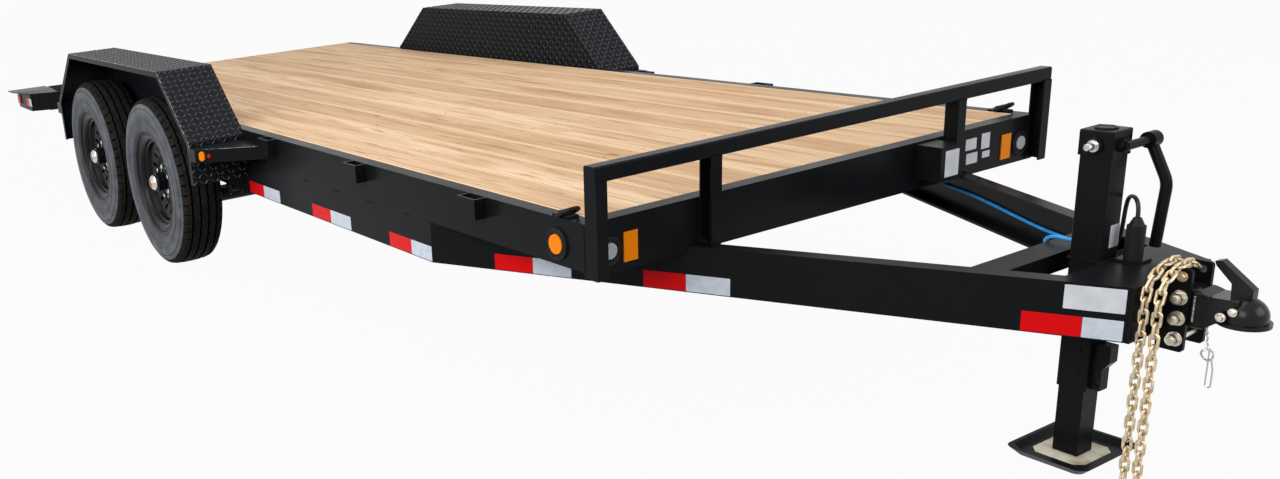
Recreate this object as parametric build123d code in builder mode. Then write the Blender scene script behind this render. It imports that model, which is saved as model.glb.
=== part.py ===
"""Tandem-axle car transporter trailer with a wooden deck, parked on its jack.

Millimetres, +X towards the coupler, +Y to the left, +Z up.
The origin is on the ground, in the middle of the overall length and width.
"""

import os
from math import atan2, cos, pi, radians, sin, tan

from build123d import *

os.makedirs("parts", exist_ok=True)


# ---------------------------------------------------------------- sizes
# The whole trailer
frame_width = 1956.0       # over the webs of the side rails
overall_width = 2456.0     # over the fenders
deck_length = 5486.0       # header face to the end of the dovetail
deck_height = 675.0        # ground to the top of the rails
tongue_reach = 1180.0      # header face to the nose of the coupler

# Steel sections
rail_depth = 136.0
beam_depth = 137.0         # the tongue beams that run on below the rails
header_depth = 154.0
flange = 48.0              # how far a rail, beam or header flange reaches
web = 6.0
flange_thick = 8.0
plate = 4.0                # fender and lamp box sheet
cross_depth = 76.0
cross_flange = 38.0
cross_thick = 5.0
cross_pitch = 610.0

# Dovetail and tail
dovetail_length = 610.0
dovetail_drop = 100.0
tail_bar_radius = 19.0

# Tongue
bend_back = 782.0          # header face back to the bend of the beams
tip_reach = 958.0          # header face to the tip plate
tip_half = 163.0           # half width over the beams at the tip
tip_plate = 10.0
bevel_length = 130.0       # slope at the rear ends of the beams

# Deck
board_thick = 38.0
board_count = 11
board_gap = 3.0

# Front rail
top_tube = 44.5
top_tube_round = 6.0
top_rail_height = 160.0    # deck to the top of the tube
post_depth = 48.0
post_width = 38.0
post_wall = 5.0
post_right_y = -550.0      # middle of the inner posts
post_left_y = 512.0
corner_post_drop = 150.0   # deck down to the foot of a corner post

# Wheels and axles
tyre_radius = 392.0
tyre_width = 210.0
tyre_gap = 28.0            # rail web to tyre
rim_radius = 203.0
rim_flange_radius = 231.0
front_axle_back = 2855.0   # header face back to the axles
rear_axle_back = 3790.0
running_gap = 0.3          # spindle to hub
wheel_clearance = 6.0      # brake plate to drum
axle_radius = 38.0
axle_drop = 110.0          # spindle down to the axle beam
spindle_radius = 20.0

# Springs
leaf_thick = 6.5
leaf_width = 44.0
leaf_count = 4
equalizer_length = 190.0
hanger_drop = 20.0         # beam down to the spring eye
eye_radius = 14.0
eye_bore = 8.0
spring_sag = 35.0

# Fenders, measured from the header face and from the deck
fender_front_foot = 2252.0
fender_front_top = 2535.0
fender_rear_top = 3895.0
fender_rear_foot = 4235.0
fender_rise = 256.0
fender_knee_drop = 20.0
fender_front_drop = 200.0
fender_rear_drop = 240.0
fender_lip = 25.0
brace_height = 55.0
brace_drop = 40.0
brace_reach = 240.0        # along the rail, ahead of the fender foot
brace_outer_reach = 60.0   # along X at the outer end

# Stake pockets
pocket_first = 499.0
pocket_pitch = 730.0
pocket_count = 3
pocket_length = 92.0
pocket_out = 44.0
pocket_height = 63.0
pocket_wall = 6.0

# Jack
jack_back_of_reach = 776.0   # header face to the middle of the jack
jack_tube_size = 76.0
jack_wall = 5.0
jack_head_size = 84.0
jack_head_low = 127.0        # above the deck
jack_head_high = 190.0
jack_tube_bottom = 195.0     # above the ground
leg_gap = 0.5                # leg to tube, each side
jack_ear_reach = 42.0
jack_ear_thick = 34.0
jack_pin_radius = 8.0
foot_length = 215.0
foot_width = 260.0
foot_thick = 8.0
foot_rim = 22.0

# Coupler
ear_gap = 78.0
ear_thick = 10.0
ear_reach = 62.0
ear_rise = 32.0              # above the beams
ear_low = 34.0               # below the beams
ear_hole_radius = 8.75
ear_hole_pitch = 51.0
coupler_width = 76.0
ball_radius = 29.8
bolt_radius = 8.5

# Lamps
clear_lens_radius = 24.5
clear_ring_radius = 39.6
amber_lens_radius = 29.8
amber_ring_radius = 45.5

lamp_box_rear = 54.0         # tail back to the rear of the tail lamp box
lamp_box_lip = 10.0          # top plate past the rear of the box

# Equipment box on the header
box_width = 92.0
box_reach = 92.0
box_height = 110.0
box_wall = 4.0
lid_thick = 5.0
lid_gap = 0.5
knuckle_radius = 3.0

# Chains and wiring
chain_wire = 7.0
link_inner = 30.0
link_inner_width = 11.0
link_play = 3.0
harness_radius = 5.0

# ---------------------------------------------------------------- places
half = frame_width / 2
wheel_centre_y = half + tyre_gap + tyre_width / 2
outer = overall_width / 2
tail_overhang = lamp_box_rear + lamp_box_lip
header_x = (deck_length + tail_overhang - tongue_reach) / 2
tail_x = header_x - deck_length
rail_front_x = header_x - web
dovetail_x = tail_x + dovetail_length
rail_bottom = deck_height - rail_depth
beam_top = rail_bottom
beam_bottom = beam_top - beam_depth
beam_rear_x = dovetail_x
bend_x = header_x - bend_back
tip_x = header_x + tip_reach
turn = atan2(half - tip_half, tip_x - bend_x)
tail_top = deck_height - dovetail_drop
front_axle_x = header_x - front_axle_back
rear_axle_x = header_x - rear_axle_back
jack_x = header_x + jack_back_of_reach


def mirrored(piece):
    """The same piece on the other side of the trailer."""
    with BuildPart() as other:
        mirror(piece, about=Plane.XZ)
    return other.part


def save(piece, name):
    piece.label = name
    export_step(piece, f"parts/{name}.step")


def at_y(y):
    """A sketch plane across the trailer whose extrusions run towards -Y."""
    return Plane.XZ.offset(-y)


# ---------------------------------------------------------------- side rails
# Each rail is a channel with its smooth web outside. It follows the deck and
# drops with the dovetail.
def rail_band(top, deep):
    """Side outline of a strip of the rail, from top to top + deep below it."""
    with BuildLine() as outline:
        Polyline(
            (rail_front_x, deck_height - top),
            (dovetail_x, deck_height - top),
            (tail_x, tail_top - top),
            (tail_x, tail_top - top - deep),
            (dovetail_x, deck_height - top - deep),
            (rail_front_x, deck_height - top - deep),
            close=True,
        )
    make_face(outline.edges())


with BuildPart() as side_rail_right:
    with BuildSketch(at_y(-half + web)):
        rail_band(0, rail_depth)
    extrude(amount=web)
    with BuildSketch(at_y(-half + flange)):
        rail_band(0, flange_thick)
        rail_band(rail_depth - flange_thick, flange_thick)
    extrude(amount=flange)

save(side_rail_right.part, "side_rail_right")
save(mirrored(side_rail_right.part), "side_rail_left")


# ---------------------------------------------------------------- tongue beams
# The beams run below the rails from the dovetail, bend in ahead of the axles
# and meet at the tip. Their rear ends are bevelled.
def beam_strip(inward):
    """Plan of the beam, from its outer face to a line inward of it."""
    with BuildLine() as outline:
        Polyline(
            (beam_rear_x, -half),
            (bend_x, -half),
            (tip_x, -tip_half),
            (tip_x, -tip_half + inward / cos(turn)),
            (bend_x - inward * tan(turn / 2), -half + inward),
            (beam_rear_x, -half + inward),
            close=True,
        )
    make_face(outline.edges())


with BuildPart() as tongue_beam_right:
    with BuildSketch(Plane.XY.offset(beam_bottom)):
        beam_strip(web)
    extrude(amount=beam_depth)
    with BuildSketch(Plane.XY.offset(beam_bottom)):
        beam_strip(flange)
    extrude(amount=flange_thick)
    with BuildSketch(Plane.XY.offset(beam_top - flange_thick)):
        beam_strip(flange)
    extrude(amount=flange_thick)
    with BuildSketch(at_y(0)):
        with BuildLine():
            Polyline(
                (beam_rear_x, beam_top - flange_thick),
                (beam_rear_x, beam_bottom),
                (beam_rear_x + bevel_length, beam_bottom),
                close=True,
            )
        make_face()
    extrude(amount=half, mode=Mode.SUBTRACT)

save(tongue_beam_right.part, "tongue_beam_right")
tongue_beam_left = mirrored(tongue_beam_right.part)
save(tongue_beam_left, "tongue_beam_left")


# ---------------------------------------------------------------- header
# A deeper channel closes the front of the deck. Its web covers the rail ends,
# and its foot is notched over the tongue beams.
with BuildPart() as front_header:
    with BuildSketch(Plane.YZ.offset(header_x - web)):
        with Locations((0, deck_height - header_depth / 2)):
            Rectangle(2 * half, header_depth)
    extrude(amount=web)
    with BuildSketch(Plane.YZ.offset(header_x - flange)):
        with Locations((0, deck_height - flange_thick / 2)):
            Rectangle(2 * (half - flange), flange_thick)
        with Locations((0, deck_height - header_depth + flange_thick / 2)):
            Rectangle(2 * (half - flange), flange_thick)
    extrude(amount=flange)
    add(tongue_beam_right.part, mode=Mode.SUBTRACT)
    add(tongue_beam_left, mode=Mode.SUBTRACT)
    with BuildSketch(Plane.YZ.offset(header_x - flange)):
        notch_half = half - tan(turn) * (bend_back - flange)
        for y in (-1, 1):
            with Locations((y * (notch_half - flange), beam_top - flange / 2)):
                Rectangle(3 * flange, flange)
    extrude(amount=flange - web, mode=Mode.SUBTRACT)

save(front_header.part, "front_header")


# ---------------------------------------------------------------- cross-members
# Channels under the boards, from rail web to rail web.
with BuildPart() as cross_members:
    count = int((deck_length - dovetail_length - 2 * cross_flange) / cross_pitch)
    member_x = [header_x - cross_pitch * (step + 1) for step in range(count)]
    member_x += [dovetail_x, dovetail_x - dovetail_length / 2]
    for x in member_x:
        with BuildSketch(at_y(half - web)):
            with BuildLine():
                top = deck_height - board_thick - max(0.0, dovetail_x - x) * dovetail_drop / dovetail_length
                low = top - cross_depth
                Polyline(
                    (x, top),
                    (x + cross_flange, top),
                    (x + cross_flange, top - cross_thick),
                    (x + cross_thick, top - cross_thick),
                    (x + cross_thick, low + cross_thick),
                    (x + cross_flange, low + cross_thick),
                    (x + cross_flange, low),
                    (x, low),
                    close=True,
                )
            make_face()
        extrude(amount=2 * (half - web))

save(cross_members.part, "cross_members")


# ---------------------------------------------------------------- tail
# The tail channel closes the dovetail, and a round bar runs along its top.
with BuildPart() as tail_channel:
    with BuildSketch(Plane.YZ.offset(tail_x - web)):
        with Locations((0, tail_top - rail_depth / 2)):
            Rectangle(2 * half, rail_depth)
    extrude(amount=web)
    with BuildSketch(Plane.YZ.offset(tail_x)):
        for z in (tail_top - board_thick - flange_thick / 2, tail_top - rail_depth + flange_thick / 2):
            with Locations((0, z)):
                Rectangle(2 * (half - flange), flange_thick)
    extrude(amount=flange)
    bar_end = half - tail_bar_radius
    with BuildSketch(at_y(bar_end)):
        with Locations((tail_x - tail_bar_radius, tail_top)):
            Circle(tail_bar_radius)
    extrude(amount=2 * bar_end)
    with Locations((tail_x - tail_bar_radius, bar_end, tail_top), (tail_x - tail_bar_radius, -bar_end, tail_top)):
        Sphere(tail_bar_radius)

save(tail_channel.part, "tail_channel")


# ---------------------------------------------------------------- boards
board_width = (2 * (half - flange) - board_gap * (board_count + 1)) / board_count
board_front_x = header_x - flange - board_gap
board_rows = [(i - (board_count - 1) / 2) * (board_width + board_gap) for i in range(board_count)]

with BuildPart() as deck_boards:
    for y in board_rows:
        with BuildSketch(Plane.YZ.offset(dovetail_x)):
            with Locations((y, deck_height - board_thick / 2)):
                Rectangle(board_width, board_thick)
        extrude(amount=board_front_x - dovetail_x)

save(deck_boards.part, "deck_boards")

with BuildPart() as dovetail_boards:
    for y in board_rows:
        with BuildSketch(at_y(y + board_width / 2)):
            with BuildLine():
                Polyline(
                    (dovetail_x - board_gap, deck_height),
                    (tail_x, tail_top),
                    (tail_x, tail_top - board_thick),
                    (dovetail_x - board_gap, deck_height - board_thick),
                    close=True,
                )
            make_face()
        extrude(amount=board_width)

save(dovetail_boards.part, "dovetail_boards")


# ---------------------------------------------------------------- front rail
# A square tube on four channel posts. The posts stand in front of the header:
# the corner posts with their webs outside, the inner ones on the beams.
post_top = deck_height + top_rail_height - top_tube + 0.6 * top_tube_round
post_places = [
    (-half, 1, deck_height - corner_post_drop),
    (post_right_y + post_width / 2, -1, beam_top),
    (post_left_y - post_width / 2, 1, beam_top),
    (half, -1, deck_height - corner_post_drop),
]

with BuildPart() as front_rail:
    with BuildSketch(at_y(half)):
        with Locations((header_x + top_tube / 2, deck_height + top_rail_height - top_tube / 2)):
            RectangleRounded(top_tube, top_tube, top_tube_round)
    extrude(amount=2 * half)
    for web_y, inward, low in post_places:
        with BuildSketch(Plane.XY.offset(low)):
            with Locations((header_x + post_depth / 2, web_y + inward * post_width / 2)):
                Rectangle(post_depth, post_width)
            with Locations((header_x + post_depth / 2, web_y + inward * (post_wall + post_width) / 2)):
                Rectangle(post_depth - 2 * post_wall, post_width - post_wall, mode=Mode.SUBTRACT)
        extrude(amount=post_top - low)

save(front_rail.part, "front_rail")


# ---------------------------------------------------------------- stake pockets
with BuildPart() as pockets_right:
    for step in range(pocket_count):
        x = header_x - pocket_first - step * pocket_pitch
        with BuildSketch(Plane.XY.offset(deck_height - pocket_height)):
            with Locations((x, -half - pocket_out / 2)):
                Rectangle(pocket_length, pocket_out)
            with Locations((x, -half - (pocket_out - pocket_wall) / 2)):
                Rectangle(pocket_length - 2 * pocket_wall, pocket_out - pocket_wall, mode=Mode.SUBTRACT)
        extrude(amount=pocket_height)

with BuildPart() as stake_pockets:
    add(pockets_right.part)
    mirror(pockets_right.part, about=Plane.XZ)

save(stake_pockets.part, "stake_pockets")


# ---------------------------------------------------------------- fenders
# Folded sheet over both wheels, with a turned-down lip, an inner wall above
# the deck and plain drops at both ends.
def fender_line(inset, low_inset):
    """Points of the fender's side outline, moved in by inset."""
    front = header_x - fender_front_foot
    rear = header_x - fender_rear_foot
    knee = deck_height - fender_knee_drop
    front_lean = atan2(fender_rise + fender_knee_drop, fender_front_top - fender_front_foot)
    rear_lean = atan2(fender_rise + fender_knee_drop, fender_rear_foot - fender_rear_top)
    return [
        (rear + inset, deck_height - fender_rear_drop + low_inset),
        (rear + inset, knee - inset * tan(pi / 4 - rear_lean / 2)),
        (header_x - fender_rear_top + inset * tan(rear_lean / 2), deck_height + fender_rise - inset),
        (header_x - fender_front_top - inset * tan(front_lean / 2), deck_height + fender_rise - inset),
        (front - inset, knee - inset * tan(pi / 4 - front_lean / 2)),
        (front - inset, deck_height - fender_front_drop + low_inset),
    ]


def fender_shell(inset):
    """Side outline of a shell from the fender's outside to inset within it."""
    with BuildLine() as outline:
        Polyline(*fender_line(0, 0), *reversed(fender_line(inset, 0)), close=True)
    make_face(outline.edges())


with BuildPart() as fender_right:
    with BuildSketch(at_y(-half)):
        fender_shell(plate)
    extrude(amount=outer - half)
    with BuildSketch(at_y(-outer + plate)):
        fender_shell(fender_lip)
    extrude(amount=plate)
    with BuildSketch(at_y(-half + plate)):
        with BuildLine():
            line = fender_line(0, 0)
            rear_lean = (fender_rear_foot - fender_rear_top) / (fender_rise + fender_knee_drop)
            front_lean = (fender_front_top - fender_front_foot) / (fender_rise + fender_knee_drop)
            Polyline(
                (line[1][0] + rear_lean * fender_knee_drop, deck_height),
                line[2],
                line[3],
                (line[4][0] - front_lean * fender_knee_drop, deck_height),
                close=True,
            )
        make_face()
    extrude(amount=plate)

save(fender_right.part, "fender_right")
save(mirrored(fender_right.part), "fender_left")


# ---------------------------------------------------------------- fender braces
# A bent gusset at each end of each fender, from the rail to the fender's edge.
def brace(foot_x, way):
    """Top plate, slanting face and lower edge of one gusset."""
    top = deck_height - brace_drop
    rail_x = foot_x + way * brace_reach
    edge_x = foot_x + way * brace_outer_reach
    slope = atan2(brace_reach - brace_outer_reach, outer - half)
    step = plate / cos(slope)
    with BuildSketch(Plane.XY.offset(top - plate)) as top_face:
        with BuildLine():
            Polyline((foot_x, -half), (rail_x, -half), (edge_x, -outer), (foot_x, -outer), close=True)
        make_face()
    extrude(top_face.sketch, amount=plate)
    with BuildSketch(Plane.XY.offset(top - brace_height)) as side_face:
        with BuildLine():
            Polyline(
                (rail_x, -half),
                (edge_x, -outer),
                (foot_x, -outer),
                (foot_x, -outer + plate),
                (edge_x - way * step, -outer + plate),
                (rail_x - way * step, -half),
                close=True,
            )
        make_face()
    extrude(side_face.sketch, amount=brace_height)


with BuildPart() as braces_right:
    brace(header_x - fender_front_foot, 1)
    brace(header_x - fender_rear_foot, -1)

with BuildPart() as fender_braces:
    add(braces_right.part)
    mirror(braces_right.part, about=Plane.XZ)

save(fender_braces.part, "fender_braces")


# ---------------------------------------------------------------- tie-down rings
# A strap welded on the rail holds a D-shaped ring that leans on it.
ring_wire = 6.5
ring_half = 28.0
ring_back = 110.0          # header face to the strap
strap_width = 36.0
ring_lean = 28.0           # ring over the rail

with BuildPart() as tie_downs_right:
    ring_x = header_x - ring_back
    ring_y = -half + flange / 2
    ring_seat = ring_wire + 0.5
    ring_z = deck_height + ring_seat
    strap_outer = ring_seat + 6.0
    with BuildSketch(Plane.XZ.offset(-ring_y - strap_width / 2)):
        with Locations((ring_x, ring_z)):
            Circle(strap_outer)
        with Locations((ring_x, deck_height + ring_seat / 2)):
            Rectangle(2 * strap_outer, ring_seat)
        with Locations((ring_x, deck_height + 3)):
            Rectangle(2 * strap_outer + 44, 6)
        with Locations((ring_x, ring_z)):
            Circle(ring_seat, mode=Mode.SUBTRACT)
        with Locations((ring_x, deck_height + ring_seat / 2)):
            Rectangle(2 * ring_seat, ring_seat, mode=Mode.SUBTRACT)
        with Locations((ring_x, deck_height - strap_outer)):
            Rectangle(4 * strap_outer, 2 * strap_outer, mode=Mode.SUBTRACT)
    extrude(amount=strap_width)

with BuildPart() as tie_rings_right:
    lean = Plane(
        origin=(ring_x, ring_y, ring_z),
        x_dir=(0, -1, 0),
        z_dir=(-sin(radians(ring_lean)), 0, cos(radians(ring_lean))),
    )
    with BuildLine(lean) as d_line:
        Line((-ring_half, 0), (ring_half, 0))
        Line((ring_half, 0), (ring_half, 14))
        ThreePointArc((ring_half, 14), (0, 14 + ring_half), (-ring_half, 14))
        Line((-ring_half, 14), (-ring_half, 0))
    with BuildSketch(Plane(origin=d_line.line @ 0, z_dir=d_line.line % 0)):
        Circle(ring_wire)
    sweep(path=d_line.line, transition=Transition.RIGHT)

with BuildPart() as tie_down_straps:
    add(tie_downs_right.part)
    mirror(tie_downs_right.part, about=Plane.XZ)

save(tie_down_straps.part, "tie_down_straps")

with BuildPart() as tie_down_rings:
    add(tie_rings_right.part)
    mirror(tie_rings_right.part, about=Plane.XZ)

save(tie_down_rings.part, "tie_down_rings")


# ---------------------------------------------------------------- lamps
# Round lamps sit in rubber grommets, with flat reflectors beside them.
grommet_proud = 6.0
lens_proud = 9.0
seat = 0.3                 # lens to grommet
clear_lamp_in = 79.0       # frame side to the lamp's middle
clear_lamp_y = half - clear_lamp_in
clear_lamp_drop = 88.0
side_lamp_back = 120.0
side_lamp_drop = 76.0
reflector_in = 154.0       # frame side to the reflector's middle
reflector_y = half - reflector_in
reflector_drop = 89.0
reflector_width = 49.0
reflector_height = 84.0
marker_drop = brace_drop + brace_height / 2


brace_slope = atan2(brace_reach - brace_outer_reach, outer - half)
front_plane_right = Plane(
    origin=(header_x, -clear_lamp_y, deck_height - clear_lamp_drop),
    x_dir=(0, 1, 0),
    z_dir=(1, 0, 0),
)
side_plane_right = Plane(
    origin=(header_x - side_lamp_back, -half, deck_height - side_lamp_drop),
    x_dir=(1, 0, 0),
    z_dir=(0, -1, 0),
)
brace_edge_x = header_x - fender_front_foot + brace_outer_reach
marker_in = 42.0           # marker middle, along the brace from its outer end
marker_plane_right = Plane(
    origin=(
        brace_edge_x + marker_in * sin(brace_slope),
        -outer + marker_in * cos(brace_slope),
        deck_height - marker_drop,
    ),
    x_dir=(sin(brace_slope), cos(brace_slope), 0),
    z_dir=(cos(brace_slope), -sin(brace_slope), 0),
)


def ring_on(plane, radius, bore):
    """A grommet that stands proud of the sheet, hollow for its lens."""
    with BuildSketch(plane) as face:
        Circle(radius)
        Circle(bore + seat, mode=Mode.SUBTRACT)
    extrude(face.sketch, amount=grommet_proud, taper=18)


def lens_on(plane, radius):
    """A lens with a shallow step at its edge."""
    with BuildSketch(plane) as face:
        Circle(radius)
    extrude(face.sketch, amount=lens_proud, taper=12)


with BuildPart() as grommets_right:
    ring_on(front_plane_right, clear_ring_radius, clear_lens_radius)
    ring_on(side_plane_right, amber_ring_radius, amber_lens_radius)

with BuildPart() as lamp_grommets:
    add(grommets_right.part)
    mirror(grommets_right.part, about=Plane.XZ)

save(lamp_grommets.part, "lamp_grommets")

with BuildPart() as clear_right:
    lens_on(front_plane_right, clear_lens_radius)

with BuildPart() as clear_lamps:
    add(clear_right.part)
    mirror(clear_right.part, about=Plane.XZ)

save(clear_lamps.part, "clear_lamps")

with BuildPart() as amber_right:
    lens_on(side_plane_right, amber_lens_radius)
    with BuildSketch(Plane.YZ.offset(header_x)):
        with Locations((-reflector_y, deck_height - reflector_drop)):
            Rectangle(reflector_width, reflector_height)
    extrude(amount=4)
    with BuildSketch(marker_plane_right):
        with Locations((-12, 0)):
            SlotOverall(40, 26, rotation=90)
    extrude(amount=lens_proud, taper=12)

with BuildPart() as amber_lamps:
    add(amber_right.part)
    mirror(amber_right.part, about=Plane.XZ)

save(amber_lamps.part, "amber_lamps")


# ---------------------------------------------------------------- tail lamp boxes
# A box outboard of each rail end, with a wider top plate.
lamp_box_front = 360.0       # tail forward to the front of the box
lamp_box_out = 182.0
lamp_box_height = 105.0
lamp_box_drop = 84.0         # deck down to the top plate
top_plate_out = 60.0
top_plate_front = 60.0

with BuildPart() as lamp_box_right:
    box_top = deck_height - lamp_box_drop
    with BuildSketch(Plane.XY.offset(box_top - lamp_box_height)):
        with BuildLine():
            Polyline(
                (tail_x - lamp_box_rear, -half),
                (tail_x - lamp_box_rear, -half - lamp_box_out),
                (tail_x + lamp_box_front - lamp_box_out / 2, -half - lamp_box_out),
                (tail_x + lamp_box_front, -half),
                close=True,
            )
        make_face()
    extrude(amount=lamp_box_height)
    with BuildSketch(Plane.XY.offset(box_top)):
        with BuildLine():
            Polyline(
                (tail_x - lamp_box_rear - lamp_box_lip, -half),
                (tail_x - lamp_box_rear - lamp_box_lip, -half - lamp_box_out - top_plate_out),
                (tail_x + top_plate_front, -half - lamp_box_out - top_plate_out),
                (tail_x + lamp_box_front - lamp_box_out / 2, -half - lamp_box_out),
                (tail_x + lamp_box_front, -half),
                close=True,
            )
        make_face()
    extrude(amount=plate)

with BuildPart() as tail_lamp_boxes:
    add(lamp_box_right.part)
    mirror(lamp_box_right.part, about=Plane.XZ)

save(tail_lamp_boxes.part, "tail_lamp_boxes")

# Red lenses: two round ones at the back of each box, one at its outer side
# and a small round one beside each fender marker.
rear_plane_right = Plane(
    origin=(tail_x - lamp_box_rear, -half - lamp_box_out / 2, box_top - lamp_box_height / 2),
    x_dir=(0, 1, 0),
    z_dir=(-1, 0, 0),
)

with BuildPart() as red_right:
    with BuildSketch(rear_plane_right):
        SlotOverall(150, 60)
    extrude(amount=lens_proud, taper=12)
    with BuildSketch(Plane.XZ.offset(half + lamp_box_out)):
        with Locations((tail_x - lamp_box_rear + 42, box_top - lamp_box_height / 2)):
            Rectangle(60, 60)
    extrude(amount=lens_proud, taper=12)
    with BuildSketch(marker_plane_right):
        with Locations((18, 0)):
            Circle(9)
    extrude(amount=lens_proud, taper=12)

with BuildPart() as red_lamps:
    add(red_right.part)
    mirror(red_right.part, about=Plane.XZ)

save(red_lamps.part, "red_lamps")


# ---------------------------------------------------------------- equipment box
# An open steel box on the header beside the left post, with a hinged lid.
box_y = post_left_y - post_width / 2 - 43.0 - box_width / 2
box_lid_top = deck_height - 6.0

with BuildPart() as equipment_box:
    with BuildSketch(Plane.XY.offset(box_lid_top - box_height)):
        with Locations((header_x + box_reach / 2, box_y)):
            Rectangle(box_reach, box_width)
    extrude(amount=box_height - lid_thick - lid_gap)
    with BuildSketch(Plane.XY.offset(box_lid_top - box_height + box_wall)):
        with Locations((header_x + box_reach / 2, box_y)):
            Rectangle(box_reach - 2 * box_wall, box_width - 2 * box_wall)
    extrude(amount=box_height, mode=Mode.SUBTRACT)

save(equipment_box.part, "equipment_box")

with BuildPart() as equipment_box_lid:
    with BuildSketch(Plane.XY.offset(box_lid_top - lid_thick)):
        with Locations((header_x + box_reach / 2 + 4, box_y)):
            Rectangle(box_reach - 4, box_width + 4)
    extrude(amount=lid_thick)
    with BuildSketch(at_y(box_y + box_width / 2)):
        with Locations((header_x + 6, box_lid_top - lid_thick / 2)):
            Circle(knuckle_radius)
    extrude(amount=box_width)

save(equipment_box_lid.part, "equipment_box_lid")


# ---------------------------------------------------------------- axles
# Drop axles: a tube below the springs, with arms up to the spindles.
axle_low = tyre_radius - axle_drop
spring_y = half - flange / 2
arm_thick = 34.0
arm_outer_y = wheel_centre_y - tyre_width / 2 + 8.0
hub_inner_y = wheel_centre_y - 66.0
brake_radius = 127.0
backing_thick = 5.0
spindle_end_y = wheel_centre_y + 40.0

with BuildPart() as axles_half:
    for x in (front_axle_x, rear_axle_x):
        with BuildSketch(Plane.XZ):
            with Locations((x, axle_low)):
                Circle(axle_radius)
        extrude(amount=arm_outer_y)
        with BuildSketch(Plane.XZ.offset(arm_outer_y - arm_thick)):
            with Locations((x, tyre_radius - axle_drop / 2)):
                SlotCenterToCenter(axle_drop, 2 * axle_radius, rotation=90)
        extrude(amount=arm_thick)
        with BuildSketch(Plane.XZ.offset(arm_outer_y)):
            with Locations((x, tyre_radius)):
                Circle(axle_radius)
        extrude(amount=hub_inner_y - wheel_clearance - arm_outer_y)
        with BuildSketch(Plane.XZ.offset(hub_inner_y - wheel_clearance - backing_thick)):
            with Locations((x, tyre_radius)):
                Circle(brake_radius)
        extrude(amount=backing_thick)
        with BuildSketch(Plane.XZ.offset(hub_inner_y - wheel_clearance)):
            with Locations((x, tyre_radius)):
                Circle(spindle_radius)
        extrude(amount=spindle_end_y - hub_inner_y)

with BuildPart() as axles:
    add(axles_half.part)
    mirror(axles_half.part, about=Plane.XZ)

save(axles.part, "axles")


# ---------------------------------------------------------------- leaf springs
# Packs of curved leaves on top of the axles. The main leaf has rolled eyes.
eye_z = beam_bottom - hanger_drop
half_span = (front_axle_x - rear_axle_x - equalizer_length) / 2
spring_radius = (half_span**2 + spring_sag**2) / (2 * spring_sag)
spring_low = eye_z - spring_sag


def leaf(x, index):
    """One leaf of a pack, the index-th below the main leaf."""
    shorten = (1 - 0.22 * index) * half_span - (0 if index else eye_radius * 0.6)
    outer_r = spring_radius + leaf_thick * (index + 0.5)
    inner_r = spring_radius + leaf_thick * (index - 0.5)
    centre = spring_low + spring_radius
    angle = shorten / spring_radius
    with BuildLine() as outline:
        low = [
            (x - outer_r * sin(angle), centre - outer_r * cos(angle)),
            (x, centre - outer_r),
            (x + outer_r * sin(angle), centre - outer_r * cos(angle)),
        ]
        high = [
            (x + inner_r * sin(angle), centre - inner_r * cos(angle)),
            (x, centre - inner_r),
            (x - inner_r * sin(angle), centre - inner_r * cos(angle)),
        ]
        ThreePointArc(*low)
        Line(low[2], high[0])
        ThreePointArc(*high)
        Line(high[2], low[0])
    make_face(outline.edges())


with BuildPart() as springs_right:
    for x in (front_axle_x, rear_axle_x):
        with BuildSketch(Plane.XZ.offset(spring_y - leaf_width / 2)):
            for index in range(leaf_count):
                leaf(x, index)
            with Locations((x - half_span, eye_z), (x + half_span, eye_z)):
                Circle(eye_radius)
            with Locations((x - half_span, eye_z), (x + half_span, eye_z)):
                Circle(eye_bore + seat, mode=Mode.SUBTRACT)
        extrude(amount=leaf_width)
        pad_high = spring_low - leaf_thick * (leaf_count - 0.5)
        with BuildSketch(Plane.XY.offset(axle_low + axle_radius * 0.6)):
            with Locations((x, -spring_y)):
                Rectangle(2 * axle_radius, leaf_width)
        extrude(amount=pad_high - axle_low - axle_radius * 0.6 + 1.0)
        with BuildSketch(Plane.XZ.offset(spring_y - leaf_width / 2)):
            with Locations((x, axle_low)):
                Circle(axle_radius + seat)
        extrude(amount=leaf_width, mode=Mode.SUBTRACT)

with BuildPart() as leaf_springs:
    add(springs_right.part)
    mirror(springs_right.part, about=Plane.XZ)

save(leaf_springs.part, "leaf_springs")


# ---------------------------------------------------------------- hangers
# Pairs of plates with a pin below the beams, and a rocking equalizer between
# the two springs of each side.
hanger_plate = 6.0
hanger_space = 1.0           # spring to plate
hanger_width = 56.0
hanger_below = 20.0
middle_x = (front_axle_x + rear_axle_x) / 2
equalizer_drop = 62.0
equalizer_thick = 14.0
hanger_half = leaf_width / 2 + hanger_space


def hanger(x, drop):
    """Two ears below the beam and the pin between them."""
    for side in (-1, 1):
        y = -spring_y + side * (hanger_half + hanger_plate / 2)
        with BuildSketch(Plane.XZ.offset(-y - hanger_plate / 2)) as ear:
            with Locations((x, beam_bottom - drop / 2)):
                Rectangle(hanger_width, drop)
            with Locations((x, beam_bottom - drop)):
                Circle(hanger_width / 2)
            with Locations((x, beam_bottom + hanger_width / 2)):
                Rectangle(hanger_width, hanger_width, mode=Mode.SUBTRACT)
        extrude(ear.sketch, amount=hanger_plate)
    with BuildSketch(Plane.XZ.offset(spring_y - hanger_half - hanger_plate)) as pin:
        with Locations((x, beam_bottom - drop)):
            Circle(eye_bore)
    extrude(pin.sketch, amount=2 * (hanger_half + hanger_plate))


with BuildPart() as hangers_right:
    hanger(front_axle_x + half_span, hanger_drop)
    hanger(rear_axle_x - half_span, hanger_drop)
    hanger(middle_x, equalizer_drop)

with BuildPart() as spring_hangers:
    add(hangers_right.part)
    mirror(hangers_right.part, about=Plane.XZ)

save(spring_hangers.part, "spring_hangers")

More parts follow.
